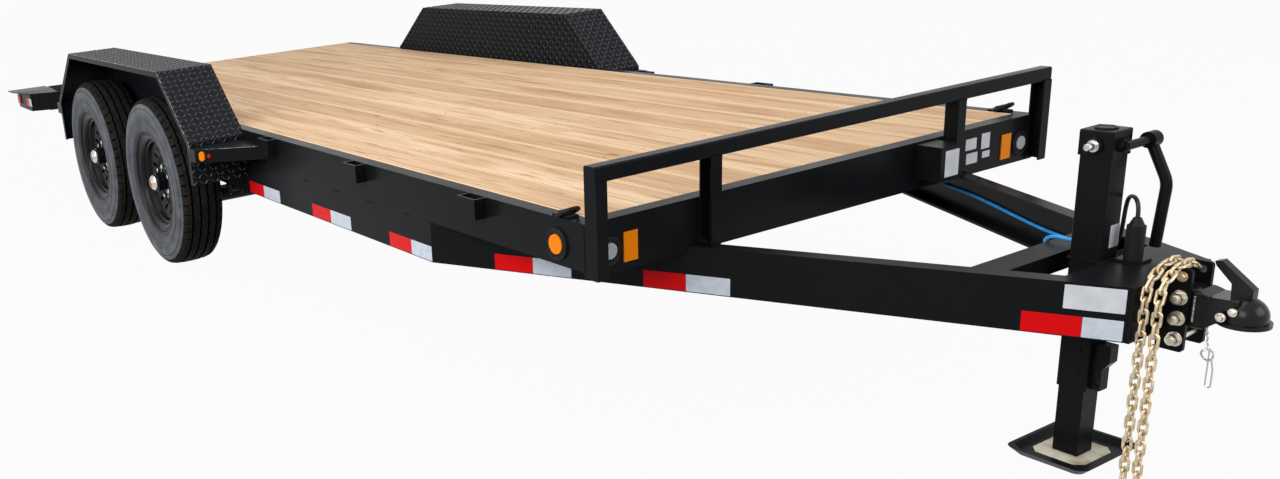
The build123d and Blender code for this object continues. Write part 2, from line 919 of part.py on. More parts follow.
with BuildPart() as equalizers_right:
    with BuildSketch(Plane.XZ.offset(spring_y - hanger_half + hanger_space)):
        with BuildLine():
            reach = equalizer_length / 2
            Polyline(
                (middle_x - reach + eye_radius + 2, eye_z - eye_radius),
                (middle_x, beam_bottom - equalizer_drop - 2.2 * eye_radius),
                (middle_x + reach - eye_radius - 2, eye_z - eye_radius),
                (middle_x + reach - eye_radius - 2, eye_z + 4),
                (middle_x, beam_bottom - equalizer_drop + 2.2 * eye_radius),
                (middle_x - reach + eye_radius + 2, eye_z + 4),
                close=True,
            )
        make_face()
        with Locations((middle_x, beam_bottom - equalizer_drop)):
            Circle(eye_bore + seat, mode=Mode.SUBTRACT)
    extrude(amount=2 * (hanger_half - hanger_space))

with BuildPart() as shackles_right:
    for way in (-1, 1):
        x = middle_x + way * equalizer_length / 2
        with BuildSketch(Plane.XZ.offset(spring_y - leaf_width / 2 - hanger_space)):
            with Locations((x, eye_z)):
                Circle(eye_bore)
        extrude(amount=leaf_width + 2 * hanger_space)
        for side in (-1, 1):
            y = -spring_y + side * (hanger_half + hanger_plate / 2)
            with BuildSketch(Plane.XZ.offset(-y - hanger_plate / 2)):
                with Locations((x - way * eye_radius, eye_z - 4)):
                    SlotOverall(5 * eye_radius, 2 * eye_radius)
            extrude(amount=hanger_plate)

with BuildPart() as equalizers:
    add(equalizers_right.part)
    add(shackles_right.part)
    mirror(equalizers_right.part, about=Plane.XZ)
    mirror(shackles_right.part, about=Plane.XZ)

save(equalizers.part, "equalizers")


# ---------------------------------------------------------------- wheels
# A steel rim with a stepped, vented disc, a long hub with a domed cap, a
# brake drum behind it, and the tyre around it.
rim_half = tyre_width / 2 - 15.0
rim_wall = 8.0
disc_depth = 60.0            # outer flange in to the disc
disc_thick = 9.0
hub_radius = 43.0
cap_radius = 36.0
hub_length = 54.0
cap_rise = 22.0
vent_count = 16
vent_circle = 148.0
vent_long = 30.0
vent_wide = 20.0
tread_crown = 6.0
groove_depth = 8.0
groove_width = 9.0


def rim_profile():
    """Half section of the rim and disc, as radius and distance outwards."""
    flange_face = rim_half
    disc = flange_face - disc_depth
    with BuildLine() as outline:
        Polyline(
            (hub_radius - 10, disc),
            (hub_radius + 42, disc),
            (hub_radius + 50, disc - 10),
            (vent_circle - vent_long / 2 - 8, disc - 10),
            (vent_circle, disc - 2),
            (vent_circle + vent_long / 2 + 4, disc + 4),
            (rim_radius - rim_wall - 14, disc + 8),
            (rim_radius - rim_wall - 8, disc + 26),
            (rim_radius - rim_wall, disc + 30),
            (rim_radius - rim_wall, flange_face - 26),
            (rim_radius - 5, flange_face - 19),
            (rim_radius + 2, flange_face - 12),
            (rim_radius + 14, flange_face - 8),
            (rim_radius + 18, flange_face - 5),
            (rim_flange_radius - 6, flange_face),
            (rim_flange_radius - 1, flange_face - 1),
            (rim_flange_radius, flange_face - 5),
            (rim_flange_radius - 5, flange_face - 9),
            (rim_radius + 13, flange_face - 14),
            (rim_radius + 3, flange_face - 17),
            (rim_radius, flange_face - 17.5),
            (rim_radius, -flange_face + 18),
            (rim_radius + 4, -flange_face + 12),
            (rim_flange_radius - 3, -flange_face + 9),
            (rim_flange_radius, -flange_face + 4),
            (rim_radius - rim_wall, -flange_face + 8),
            (rim_radius - rim_wall, disc + 8 - disc_thick),
            (vent_circle, disc - 2 - disc_thick),
            (vent_circle - vent_long / 2 - 8, disc - 10 - disc_thick),
            (hub_radius + 50, disc - 10 - disc_thick),
            (hub_radius + 42, disc - disc_thick),
            (hub_radius - 10, disc - disc_thick),
            close=True,
        )
    make_face(outline.edges())


with BuildPart() as wheel_rim:
    with BuildSketch(Plane.XY):
        rim_profile()
    revolve(axis=Axis.Y)
    with BuildSketch(Plane.XZ.offset(-rim_half)):
        with PolarLocations(vent_circle, vent_count):
            SlotOverall(vent_long, vent_wide)
    extrude(amount=2 * disc_depth, mode=Mode.SUBTRACT)
    with BuildSketch(Plane.XY):
        with BuildLine():
            disc = rim_half - disc_depth
            drum = -(wheel_centre_y - hub_inner_y)
            back = disc - disc_thick
            Polyline(
                (0, disc + hub_length + cap_rise),
                (cap_radius * 0.62, disc + hub_length + cap_rise - 4),
                (cap_radius * 0.94, disc + hub_length + cap_rise - 13),
                (cap_radius, disc + hub_length),
                (hub_radius, disc + hub_length - 3),
                (hub_radius, disc + 8),
                (hub_radius + 8, disc),
                (hub_radius + 8, back),
                (brake_radius, back),
                (brake_radius, drum),
                (brake_radius - 8, drum),
                (brake_radius - 8, back - 8),
                (spindle_radius + 14, back - 8),
                (spindle_radius + 14, drum),
                (spindle_radius + running_gap, drum),
                (spindle_radius + running_gap, spindle_end_y - wheel_centre_y + 5.0),
                (0, spindle_end_y - wheel_centre_y + 5.0),
                close=True,
            )
        make_face()
    revolve(axis=Axis.Y)

with BuildPart() as tyre:
    with BuildSketch(Plane.XY):
        w = tyre_width / 2
        bead = rim_half - 18.0
        with BuildLine():
            outline = Polyline(
                (rim_radius + seat, -bead),
                (rim_flange_radius - 2, -bead),
                (rim_flange_radius + 10, -w + 12),
                (rim_radius + 92, -w),
                (tyre_radius - 62, -w + 3),
                (tyre_radius - 16, -w + 16),
                (tyre_radius - tread_crown, -w + 28),
                (tyre_radius, 0),
                (tyre_radius - tread_crown, w - 28),
                (tyre_radius - 16, w - 16),
                (tyre_radius - 62, w - 3),
                (rim_radius + 92, w),
                (rim_flange_radius + 10, w - 12),
                (rim_flange_radius - 2, bead),
                (rim_radius + seat, bead),
                close=True,
            )
        make_face()
        for row in (-1.5, -0.5, 0.5, 1.5):
            with Locations((tyre_radius, row * (tyre_width - 60) / 4)):
                Rectangle(2 * groove_depth, groove_width, mode=Mode.SUBTRACT)
    revolve(axis=Axis.Y)

for end, axle_x in (("front", front_axle_x), ("rear", rear_axle_x)):
    for side, way in (("left", 1), ("right", -1)):
        spot = Location((axle_x, way * wheel_centre_y, tyre_radius), (0, 0, 0 if way > 0 else 180))
        save(spot * wheel_rim.part, f"wheel_{end}_{side}")
        save(spot * tyre.part, f"tyre_{end}_{side}")


# ---------------------------------------------------------------- coupler bracket
# The tip plate joins the beams and carries two ears with a row of holes.
# A cross-member and a gusset plate hold the jack.
ear_x = tip_x + tip_plate
ear_y = ear_gap / 2
ear_hole_x = ear_x + ear_reach - 20.0
ear_top = beam_top + ear_rise
ear_bottom = beam_bottom - ear_low
first_hole_z = ear_top - 19.0
jack_half = jack_tube_size / 2
seat_plate_half = 90.0
member_gap = 35.0           # cross-member to jack
brace_member_x = jack_x - jack_half - member_gap
member_width = 76.0
member_depth = 50.0


def beam_y(x):
    """Half width between the insides of the beam webs at x."""
    return half - (x - bend_x) * tan(turn) - web / cos(turn)


with BuildPart() as coupler_bracket:
    with BuildSketch(Plane.YZ.offset(tip_x)):
        with Locations((0, (beam_top + beam_bottom) / 2)):
            Rectangle(2 * tip_half, beam_depth)
    extrude(amount=tip_plate)
    for side in (-1, 1):
        y = side * (ear_y + ear_thick / 2)
        with BuildSketch(Plane.XZ.offset(-y - ear_thick / 2)):
            with Locations((ear_x + ear_reach / 2, (ear_top + ear_bottom) / 2)):
                RectangleRounded(ear_reach, ear_top - ear_bottom, 9)
            with Locations((ear_x + 6, (ear_top + ear_bottom) / 2)):
                Rectangle(12, beam_depth)
            with Locations(*[(ear_hole_x, first_hole_z - i * ear_hole_pitch) for i in range(4)]):
                Circle(ear_hole_radius, mode=Mode.SUBTRACT)
        extrude(amount=ear_thick)

save(coupler_bracket.part, "coupler_bracket")

def plate_span(low, back, front):
    """Plan of a plate from web to web between two places along the trailer."""
    with BuildSketch(Plane.XY.offset(low)) as plan:
        with BuildLine() as outline:
            Polyline(
                (back, -beam_y(back)),
                (front, -beam_y(front)),
                (front, beam_y(front)),
                (back, beam_y(back)),
                close=True,
            )
        make_face(outline.edges())
        with Locations((jack_x, 0)):
            Rectangle(jack_tube_size, jack_tube_size, mode=Mode.SUBTRACT)
    return plan.sketch


with BuildPart() as jack_mount:
    back_x = brace_member_x - member_width
    extrude(plate_span(beam_top - member_depth, back_x, brace_member_x), amount=member_depth)
    with BuildSketch(Plane.YZ.offset(back_x + web)):
        with Locations((0, beam_top - member_depth / 2 - web)):
            Rectangle(2 * half, member_depth)
    extrude(amount=member_width - 2 * web, mode=Mode.SUBTRACT)
    extrude(plate_span(beam_top - flange_thick, jack_x + jack_half, tip_x), amount=flange_thick)
    seat_ends = (jack_x - seat_plate_half, jack_x + seat_plate_half)
    extrude(plate_span(beam_bottom, *seat_ends), amount=flange_thick)
    add(tongue_beam_right.part, mode=Mode.SUBTRACT)
    add(tongue_beam_left, mode=Mode.SUBTRACT)

save(jack_mount.part, "jack_mount")


# ---------------------------------------------------------------- coupler
# A cast ball coupler bolted between the ears, with its latch lever.
coupler_bolt_z = first_hole_z - 1.5 * ear_hole_pitch
nose_radius = 46.0
nose_x = header_x + tongue_reach - nose_radius
channel_top = coupler_bolt_z + 46.0
channel_low = coupler_bolt_z - 46.0
head_low = coupler_bolt_z - 22.0
head_top = coupler_bolt_z + 44.0
skirt = 7.0
skirt_thick = 9.0

with BuildPart() as coupler:
    with BuildSketch(Plane.YZ.offset(ear_x + 2)):
        with Locations((0, (channel_low + channel_top) / 2)):
            RectangleRounded(coupler_width, channel_top - channel_low, 9)
    extrude(amount=nose_x - skirt - ear_x)
    with BuildSketch(at_y(coupler_width / 2)):
        with BuildLine():
            Polyline(
                (ear_x + 2, channel_low),
                (ear_x + 2, channel_top),
                (ear_x + 74, channel_top),
                (ear_x + 96, channel_top - 9),
                (nose_x - skirt, head_top - 3),
                (nose_x - skirt, head_low),
                (ear_x + 118, head_low),
                (ear_x + 88, channel_low),
                close=True,
            )
        make_face()
    extrude(amount=coupler_width, mode=Mode.INTERSECT)
    with BuildSketch(Plane.XZ):
        with BuildLine():
            middle = nose_x - skirt
            brow = head_top - nose_radius
            Polyline((middle, head_top), (middle, head_low), (middle + nose_radius, head_low))
            Line((middle + nose_radius, head_low), (middle + nose_radius, brow))
            RadiusArc((middle + nose_radius, brow), (middle, head_top), -nose_radius)
        make_face()
    revolve(axis=Axis((middle, 0, 0), (0, 0, 1)))
    with BuildSketch(Plane.XY.offset(head_low)):
        with Locations((nose_x - skirt, 0)):
            Circle(nose_radius + skirt)
    extrude(amount=skirt_thick)
    with BuildSketch(Plane.XY.offset(head_low)):
        with Locations((nose_x - skirt, 0)):
            Circle(ball_radius)
    extrude(amount=30, mode=Mode.SUBTRACT)
    with BuildSketch(at_y(coupler_width)):
        with Locations((ear_hole_x, coupler_bolt_z - ear_hole_pitch / 2), (ear_hole_x, coupler_bolt_z + ear_hole_pitch / 2)):
            Circle(bolt_radius + seat)
    extrude(amount=2 * coupler_width, mode=Mode.SUBTRACT)

save(coupler.part, "coupler")

with BuildPart() as coupler_latch:
    latch_x = nose_x - skirt - 6.0
    with BuildSketch(at_y(11)):
        with BuildLine():
            Polyline(
                (latch_x + 20, head_top - 6),
                (latch_x + 20, head_top + 20),
                (latch_x - 52, head_top + 76),
                (latch_x - 66, head_top + 72),
                (latch_x - 62, head_top + 62),
                (latch_x - 26, head_top + 26),
                (latch_x - 24, head_top - 6),
                close=True,
            )
        make_face()
    extrude(amount=22)
    add(coupler.part, mode=Mode.SUBTRACT)

save(coupler_latch.part, "coupler_latch")

# Bolts: two hold the coupler, one ties the ears below it.
with BuildPart() as coupler_bolts:
    ear_outer = ear_y + ear_thick
    for row in (1, 2, 3):
        with BuildSketch(at_y(ear_outer + 20)):
            with Locations((ear_hole_x, first_hole_z - row * ear_hole_pitch)):
                Circle(bolt_radius)
        extrude(amount=2 * ear_outer + 40)
        for y in (ear_outer + 13, -ear_outer):
            with BuildSketch(at_y(y)):
                with Locations((ear_hole_x, first_hole_z - row * ear_hole_pitch)):
                    RegularPolygon(14, 6)
            extrude(amount=13)

save(coupler_bolts.part, "coupler_bolts")


# ---------------------------------------------------------------- jack
# A square drop-leg jack: outer tube, gear head, side crank and a leg whose
# dished foot stands on the ground.
head_low_z = deck_height + jack_head_low
head_high_z = deck_height + jack_head_high
shaft_z = head_low_z + 27.0
jack_inner = jack_tube_size - 2 * jack_wall
leg_top = deck_height - 120.0

with BuildPart() as jack_tube:
    with BuildSketch(Plane.XY.offset(jack_tube_bottom)):
        with Locations((jack_x, 0)):
            RectangleRounded(jack_tube_size, jack_tube_size, 6)
            Rectangle(jack_inner, jack_inner, mode=Mode.SUBTRACT)
    extrude(amount=head_low_z - jack_tube_bottom)

    with BuildSketch(at_y(jack_ear_thick / 2)):
        with BuildLine():
            ear_back = jack_x + jack_half - 1.0
            Polyline(
                (ear_back, jack_tube_bottom + 4),
                (ear_back + jack_ear_reach * 0.6, jack_tube_bottom + 4),
                (ear_back + jack_ear_reach * 0.6, jack_tube_bottom + 62),
                (ear_back + jack_ear_reach, jack_tube_bottom + 84),
                (ear_back + jack_ear_reach, jack_tube_bottom + 128),
                (ear_back, jack_tube_bottom + 128),
                close=True,
            )
        make_face()
        with Locations((jack_x + jack_half + 14, jack_tube_bottom + 24)):
            Circle(jack_pin_radius + seat, mode=Mode.SUBTRACT)
    extrude(amount=jack_ear_thick)

save(jack_tube.part, "jack_tube")

with BuildPart() as jack_head:
    with BuildSketch(Plane.XY.offset(head_low_z)):
        with Locations((jack_x, 0)):
            RectangleRounded(jack_head_size, jack_head_size, 6)
    extrude(amount=head_high_z - head_low_z)
    fillet(edges().group_by(Axis.Z)[-1], 4)
    with BuildSketch(Plane.XY.offset(head_high_z)):
        with Locations((jack_x, 0)):
            Circle(19)
    extrude(amount=3)

save(jack_head.part, "jack_head")

# The crank: a boss on the head, a shaft towards the left, and a bent handle
# that hangs down beside the jack.
crank_x = jack_x + jack_head_size / 2
crank_y = 96.0
handle_radius = 13.0

with BuildPart() as jack_crank:
    with BuildSketch(Plane.YZ.offset(crank_x)):
        with Locations((-4, shaft_z)):
            Circle(17)
    extrude(amount=12)
    with BuildSketch(at_y(crank_y + 6)):
        with Locations((crank_x + 14, shaft_z)):
            Circle(11)
    extrude(amount=crank_y + 20)
    with BuildSketch(at_y(crank_y + 16)):
        with Locations((crank_x + 14, shaft_z)):
            Circle(20)
    extrude(amount=32)
    with BuildLine() as handle_line:
        FilletPolyline(
            (crank_x + 14, crank_y, shaft_z - 4),
            (crank_x + 62, crank_y, shaft_z - 100),
            (crank_x + 52, crank_y, shaft_z - 262),
            radius=70,
        )
    with BuildSketch(Plane(origin=handle_line.line @ 0, z_dir=handle_line.line % 0)):
        Circle(handle_radius)
    sweep(path=handle_line.line)

save(jack_crank.part, "jack_crank")

with BuildPart() as jack_leg:
    leg_size = jack_inner - 2 * leg_gap
    with BuildSketch(Plane.XY.offset(foot_thick)):
        with Locations((jack_x, 0)):
            Rectangle(leg_size, leg_size)
    extrude(amount=leg_top - foot_thick)

save(jack_leg.part, "jack_leg")

with BuildPart() as jack_foot:
    with BuildSketch(Plane.XY):
        with Locations((jack_x, 0)):
            RectangleRounded(foot_length - 2 * foot_rim, foot_width - 2 * foot_rim, 20)
    with BuildSketch(Plane.XY.offset(foot_rim)):
        with Locations((jack_x, 0)):
            RectangleRounded(foot_length, foot_width, 30)
    loft()
    with BuildSketch(Plane.XY.offset(foot_thick)):
        with Locations((jack_x, 0)):
            RectangleRounded(foot_length - 2 * foot_rim - 4, foot_width - 2 * foot_rim - 4, 18)
    with BuildSketch(Plane.XY.offset(foot_rim)):
        with Locations((jack_x, 0)):
            RectangleRounded(foot_length - 20, foot_width - 20, 26)
    loft(mode=Mode.SUBTRACT)

save(jack_foot.part, "jack_foot")


# ---------------------------------------------------------------- safety chains
# Two chains lie over the right ear and hang down beside it. Every second
# link is turned by a quarter.
link_outer_width = link_inner_width + 2 * chain_wire
end_reach = (link_inner + chain_wire) / 2
hook_gap = chain_wire + link_play
chain_low = 52.0
chain_start_y = -ear_y + 26.0
chain_bends = [-32.0, -8.0, 6.0, 18.0, 34.0, 56.0, 78.0]
chain_x = [ear_x + 16.0, ear_x + 46.0]


def chain_link(middle, along, upright):
    """A flat oval link along its direction, flat or upright."""
    across = Vector(1, 0, 0)
    normal = across if upright else along.cross(across)
    plane = Plane(origin=middle, x_dir=along, z_dir=normal)
    with BuildSketch(plane) as oval:
        SlotOverall(link_inner + 2 * chain_wire, link_outer_width)
        SlotOverall(link_inner, link_inner_width, mode=Mode.SUBTRACT)
    extrude(oval.sketch, amount=chain_wire / 2, both=True)


with BuildPart() as safety_chains:
    for x in chain_x:
        middle = Vector(x, chain_start_y, ear_top + chain_wire / 2 + 0.3)
        along = None
        index = 0
        while middle.Z - end_reach - chain_wire > chain_low or index < len(chain_bends):
            bend = radians(chain_bends[index] if index < len(chain_bends) else 90.0)
            next_along = Vector(0, -cos(bend), -sin(bend))
            if along is not None:
                mean = (along + next_along).normalized()
                middle = middle + along * end_reach - mean * hook_gap + next_along * end_reach
            along = next_along
            chain_link(middle, along, index % 2 == 1)
            index += 1

save(safety_chains.part, "safety_chains")


# ---------------------------------------------------------------- plug and wiring
# The plug rests in its holder on the gusset plate. The wiring runs in the
# left beam, over the cross-member, past the jack and into the plug.
plug_x = jack_x + jack_half + 40.0
plug_y = 34.0
plug_low = beam_top + 6.0
plug_radius = 21.0
plug_length = 104.0

with BuildPart() as plug_holder:
    with BuildSketch(Plane.XY.offset(beam_top)):
        with Locations((plug_x, plug_y)):
            Rectangle(2 * plug_radius + 16, 2 * plug_radius + 16)
    extrude(amount=6)

save(plug_holder.part, "plug_holder")

with BuildPart() as trailer_plug:
    with BuildSketch(Plane.XY.offset(plug_low)):
        with Locations((plug_x, plug_y)):
            Circle(plug_radius)
    extrude(amount=plug_length - 20)
    with BuildSketch(Plane.XY.offset(plug_low + plug_length - 20)):
        with Locations((plug_x, plug_y)):
            Circle(plug_radius - 3)
    extrude(amount=20, taper=25)

save(trailer_plug.part, "trailer_plug")

harness_z = beam_top - 70.0
harness_y = 62.0           # past the jack, on its left


def in_beam(x, rise):
    """Harness place against the web of the left beam."""
    return (x, beam_y(x) - harness_radius - 1.0, harness_z + rise)


def corner_radii(points):
    """The largest arcs that the runs on both sides of each corner allow."""
    radii = []
    for a, b, c in zip(points, points[1:], points[2:]):
        first = Vector(*b) - Vector(*a)
        second = Vector(*c) - Vector(*b)
        turned = radians(first.get_angle(second))
        radii.append(0.45 * min(first.length, second.length) / tan(turned / 2))
    return radii


over_plate = beam_top + harness_radius + 3.0
plug_high = plug_low + plug_length
rise_x = header_x + 806.0
rise_y = 68.0
loop_x = plug_x - rise_x
loop_y = plug_y - rise_y
harness_points = [
    in_beam(header_x - 90, 6),
    in_beam(header_x + 40, 8),
    in_beam(header_x + 170, 2),
    in_beam(header_x + 300, -8),
    in_beam(header_x + 420, -14),
    in_beam(header_x + 520, -9),
    (header_x + 562, 272, harness_z - 2),
    (header_x + 594, 176, harness_z + 8),
    (header_x + 602, 108, harness_z + 28),
    (header_x + 608, 68, over_plate - 10),
    (header_x + 638, 56, over_plate + 10),
    (header_x + 706, 60, over_plate + 5),
    (header_x + 778, 66, over_plate + 6),
    (rise_x - 4, rise_y, over_plate + 26),
    (rise_x, rise_y, plug_high + 26),
    (rise_x + 0.29 * loop_x, rise_y + 0.29 * loop_y, plug_high + 45),
    (rise_x + 0.71 * loop_x, rise_y + 0.71 * loop_y, plug_high + 45),
    (plug_x, plug_y, plug_high + 26),
    (plug_x, plug_y, plug_high),
]
harness_radii = corner_radii(harness_points)
print("harness radii", [round(r) for r in harness_radii])

with BuildPart() as wiring_harness:
    with BuildLine() as harness_line:
        FilletPolyline(*harness_points, radius=harness_radii)
    with BuildSketch(Plane(origin=harness_line.line @ 0, z_dir=harness_line.line % 0)):
        Circle(harness_radius)
    sweep(path=harness_line.line)

save(wiring_harness.part, "wiring_harness")
harness_length = sum(edge.length for edge in harness_line.line.edges())
print("harness length", round(harness_length))
print("harness volume", wiring_harness.part.volume / (pi * harness_radius**2 * harness_length))
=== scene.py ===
from math import cos, pi, radians, sin

import bmesh
import bpy
from mathutils import Matrix, Vector


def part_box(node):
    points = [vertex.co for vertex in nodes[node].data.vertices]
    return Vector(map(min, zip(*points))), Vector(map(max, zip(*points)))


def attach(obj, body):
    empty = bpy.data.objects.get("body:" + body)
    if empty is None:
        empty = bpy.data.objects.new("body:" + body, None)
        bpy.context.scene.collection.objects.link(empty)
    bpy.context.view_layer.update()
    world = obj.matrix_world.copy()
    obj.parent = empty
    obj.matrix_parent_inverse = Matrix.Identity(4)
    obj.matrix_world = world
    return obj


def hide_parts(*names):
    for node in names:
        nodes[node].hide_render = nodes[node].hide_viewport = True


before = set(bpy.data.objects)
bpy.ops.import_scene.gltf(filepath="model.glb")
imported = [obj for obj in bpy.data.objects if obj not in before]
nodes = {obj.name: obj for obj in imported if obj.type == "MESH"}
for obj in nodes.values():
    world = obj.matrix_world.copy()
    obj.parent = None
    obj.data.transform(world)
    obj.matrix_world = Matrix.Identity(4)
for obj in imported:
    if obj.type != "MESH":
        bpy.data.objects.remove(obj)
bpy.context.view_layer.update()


# ------ camera
# The places of the whole trailer are measured from the top edge of the
# front header. The camera stands ahead of the right front corner, at eye
# height, and leans a little.
def spot(x, y, z):
    """A point given ahead of the header and above the deck."""
    return Vector((header_x + x, y, deck_z + z))


def place_on(point, x_axis, y_axis, z_axis):
    """A place at a point, from its three axes."""
    return Matrix.Translation(point) @ Matrix((x_axis, y_axis, z_axis)).transposed().to_4x4()


def put_in(name, data):
    """Links a new object into the scene."""
    thing = bpy.data.objects.new(name, data)
    bpy.context.scene.collection.objects.link(thing)
    return thing


header_x, half_y, deck_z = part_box("front_header")[1]
heading = radians(151.316)
dip = radians(-17.791)
roll = radians(-4.838)
look = Vector((cos(dip) * cos(heading), cos(dip) * sin(heading), sin(dip)))
level = Vector((sin(heading), -cos(heading), 0.0))
lift = level.cross(look)
right = cos(roll) * level + sin(roll) * lift
up = cos(roll) * lift - sin(roll) * level
camera_data = bpy.data.cameras.new("camera")
camera_data.sensor_width = 36.0
camera_data.lens = 32.92
camera_data.shift_x = 0.2007
camera_data.shift_y = 0.0398
camera = put_in("camera", camera_data)
camera.matrix_world = place_on(spot(2.352, -2.886, 0.822), right, up, -look)
bpy.context.scene.camera = camera
bpy.context.scene.view_settings.view_transform = "Standard"


# ------ wiring
# A blue loom of split plastic sleeving. It runs along the web of the left
# tongue beam, over the cross-member and past the jack into the plug.
def new_node(tree, kind, fill=None, **settings):
    """A node that is set up, with values or links on its sockets."""
    node = tree.nodes.new(kind)
    for name, value in settings.items():
        setattr(node, name, value)
    for name, value in (fill or {}).items():
        if isinstance(value, bpy.types.NodeSocket):
            tree.links.new(value, node.inputs[name])
        else:
            node.inputs[name].default_value = value
    return node


def reckon(tree, operation, *values):
    """One step of arithmetic in a node tree."""
    return new_node(tree, "ShaderNodeMath", dict(enumerate(values)), operation=operation).outputs[0]


def new_finish(name, colour, roughness, gloss=0.3, metallic=0.0):
    """A material whose even values sit on the shader itself."""
    material = bpy.data.materials.new(name)
    material.use_nodes = True
    shader = material.node_tree.nodes["Principled BSDF"]
    shader.inputs["Base Color"].default_value = (*colour, 1.0)
    shader.inputs["Roughness"].default_value = roughness
    shader.inputs["Metallic"].default_value = metallic
    shader.inputs["Specular IOR Level"].default_value = gloss
    return material


def add_noise(material, scale, detail=4.0):
    """A noise pattern on the piece's own coordinates."""
    tree = material.node_tree
    place = tree.nodes.new("ShaderNodeTexCoord").outputs["Object"]
    fill = {"Vector": place, "Scale": scale, "Detail": detail}
    return new_node(tree, "ShaderNodeTexNoise", fill).outputs["Fac"]


def add_bump(material, height, strength, distance):
    """Bump from a height pattern, on top of any bump already there."""
    tree = material.node_tree
    normal = tree.nodes["Principled BSDF"].inputs["Normal"]
    fill = {"Strength": strength, "Distance": distance, "Height": height}
    if normal.is_linked:
        fill["Normal"] = normal.links[0].from_socket
    tree.links.new(new_node(tree, "ShaderNodeBump", fill).outputs["Normal"], normal)


def spread(material, value, socket, low, high, start=0.3, end=0.7):
    """Turns a pattern into a range of numbers or colours on a shader socket."""
    tree = material.node_tree
    ramp = new_node(tree, "ShaderNodeValToRGB", {"Fac": value})
    for stop, position, shade in zip(ramp.color_ramp.elements, (start, end), (low, high)):
        stop.position = position
        stop.color = (shade, shade, shade, 1.0) if isinstance(shade, float) else (*shade, 1.0)
    tree.links.new(ramp.outputs["Color"], tree.nodes["Principled BSDF"].inputs[socket])


def roughen(material, scale, strength, distance, detail=4.0):
    """Fine bumps all over a piece."""
    add_bump(material, add_noise(material, scale, detail), strength, distance)


def mottle(material, scale, low, high, start=0.3, end=0.7, detail=4.0, socket="Base Color"):
    """A colour, or another socket, that varies over a piece."""
    spread(material, add_noise(material, scale, detail), socket, low, high, start, end)


def lay_over(material, colour, share, blend="MIX"):
    """Mixes one more colour over what feeds the shader's base colour."""
    tree = material.node_tree
    base = tree.nodes["Principled BSDF"].inputs["Base Color"]
    fill = {"A": base.links[0].from_socket, "B": colour, "Factor": share}
    mix = new_node(tree, "ShaderNodeMix", fill, data_type="RGBA", blend_type=blend)
    tree.links.new(mix.outputs["Result"], base)


def dress(material, *names):
    """Gives CAD nodes their material."""
    for name in names:
        for slot in nodes[name].material_slots:
            slot.material = material


loom_blue = new_finish("loom_blue", (0.02, 0.22, 0.60), 0.42, 0.3)
mottle(loom_blue, 60.0, (0.015, 0.24, 0.66), (0.03, 0.36, 0.86))
roughen(loom_blue, 400.0, 0.3, 0.001, 2.0)
# Past this place the loom is black, where it nears the plug.
black_from = header_x + 0.790
loom_tree = loom_blue.node_tree
loom_place = loom_tree.nodes.new("ShaderNodeTexCoord").outputs["Object"]
loom_x = new_node(loom_tree, "ShaderNodeSeparateXYZ", {"Vector": loom_place}).outputs["X"]
lay_over(loom_blue, (0.010, 0.010, 0.011, 1.0), reckon(loom_tree, "GREATER_THAN", loom_x, black_from))

plug_black = new_finish("plug_black", (0.012, 0.012, 0.013), 0.5, 0.12)
roughen(plug_black, 500.0, 0.15, 0.0005)
dress(plug_black, "trailer_plug")

loom_route = [
    (-0.090, 0.641, -0.200), (0.040, 0.580, -0.198), (0.170, 0.519, -0.204), (0.300, 0.459, -0.214),
    (0.420, 0.402, -0.220), (0.520, 0.356, -0.215), (0.562, 0.272, -0.208), (0.594, 0.176, -0.198),
    (0.602, 0.108, -0.178), (0.608, 0.068, -0.138), (0.638, 0.056, -0.118), (0.706, 0.060, -0.123),
    (0.778, 0.066, -0.122), (0.802, 0.068, -0.102), (0.806, 0.068, 0.000), (0.820, 0.058, 0.019),
    (0.840, 0.044, 0.019), (0.854, 0.034, 0.000), (0.854, 0.034, -0.026),
]
loom_curve = bpy.data.curves.new("wiring_loom", "CURVE")
loom_curve.dimensions = "3D"
loom_spline = loom_curve.splines.new("NURBS")
loom_spline.points.add(len(loom_route) - 1)
for point, (x, y, z) in zip(loom_spline.points, loom_route):
    point.co = (*spot(x, y, z), 1.0)
loom_spline.order_u = 3
loom_spline.use_endpoint_u = True
loom_spline.resolution_u = 8
loom_curve.bevel_depth = 0.005
loom_curve.bevel_resolution = 3
loom_curve.materials.append(loom_blue)
wiring_loom = put_in("wiring_loom", loom_curve)
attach(wiring_loom, "trailer_frame")
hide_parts("wiring_harness")


# ------ stage
# A plain pale floor and an even, soft studio light. What the eye and the
# mirrors see of the backdrop is plain white and lights nothing.
def show_backdrop(tree, lit, plain, share, output):
    """Lights with one shader, and shows the plain one to eye and mirrors."""
    ray = tree.nodes.new("ShaderNodeLightPath").outputs
    seen = reckon(tree, "MAXIMUM", ray["Is Camera Ray"], ray["Is Glossy Ray"])
    seen = reckon(tree, "MAXIMUM", seen, ray["Is Transmission Ray"])
    fill = {"Fac": reckon(tree, "MULTIPLY", seen, share), 1: lit, 2: plain}
    pick = new_node(tree, "ShaderNodeMixShader", fill)
    tree.links.new(pick.outputs["Shader"], tree.nodes[output].inputs["Surface"])


floor_mesh = bpy.data.meshes.new("floor")
floor_mesh.from_pydata([(-30, -30, 0), (30, -30, 0), (30, 30, 0), (-30, 30, 0)], [], [(0, 1, 2, 3)])
floor_finish = new_finish("floor_finish", (0.16, 0.16, 0.165), 0.9, 0.0)
floor_mesh.materials.append(floor_finish)
floor_tree = floor_finish.node_tree
floor_lit = floor_tree.nodes["Principled BSDF"].outputs["BSDF"]
floor_plain = floor_tree.nodes.new("ShaderNodeEmission").outputs["Emission"]
show_backdrop(floor_tree, floor_lit, floor_plain, 0.96, "Material Output")
floor = put_in("floor", floor_mesh)

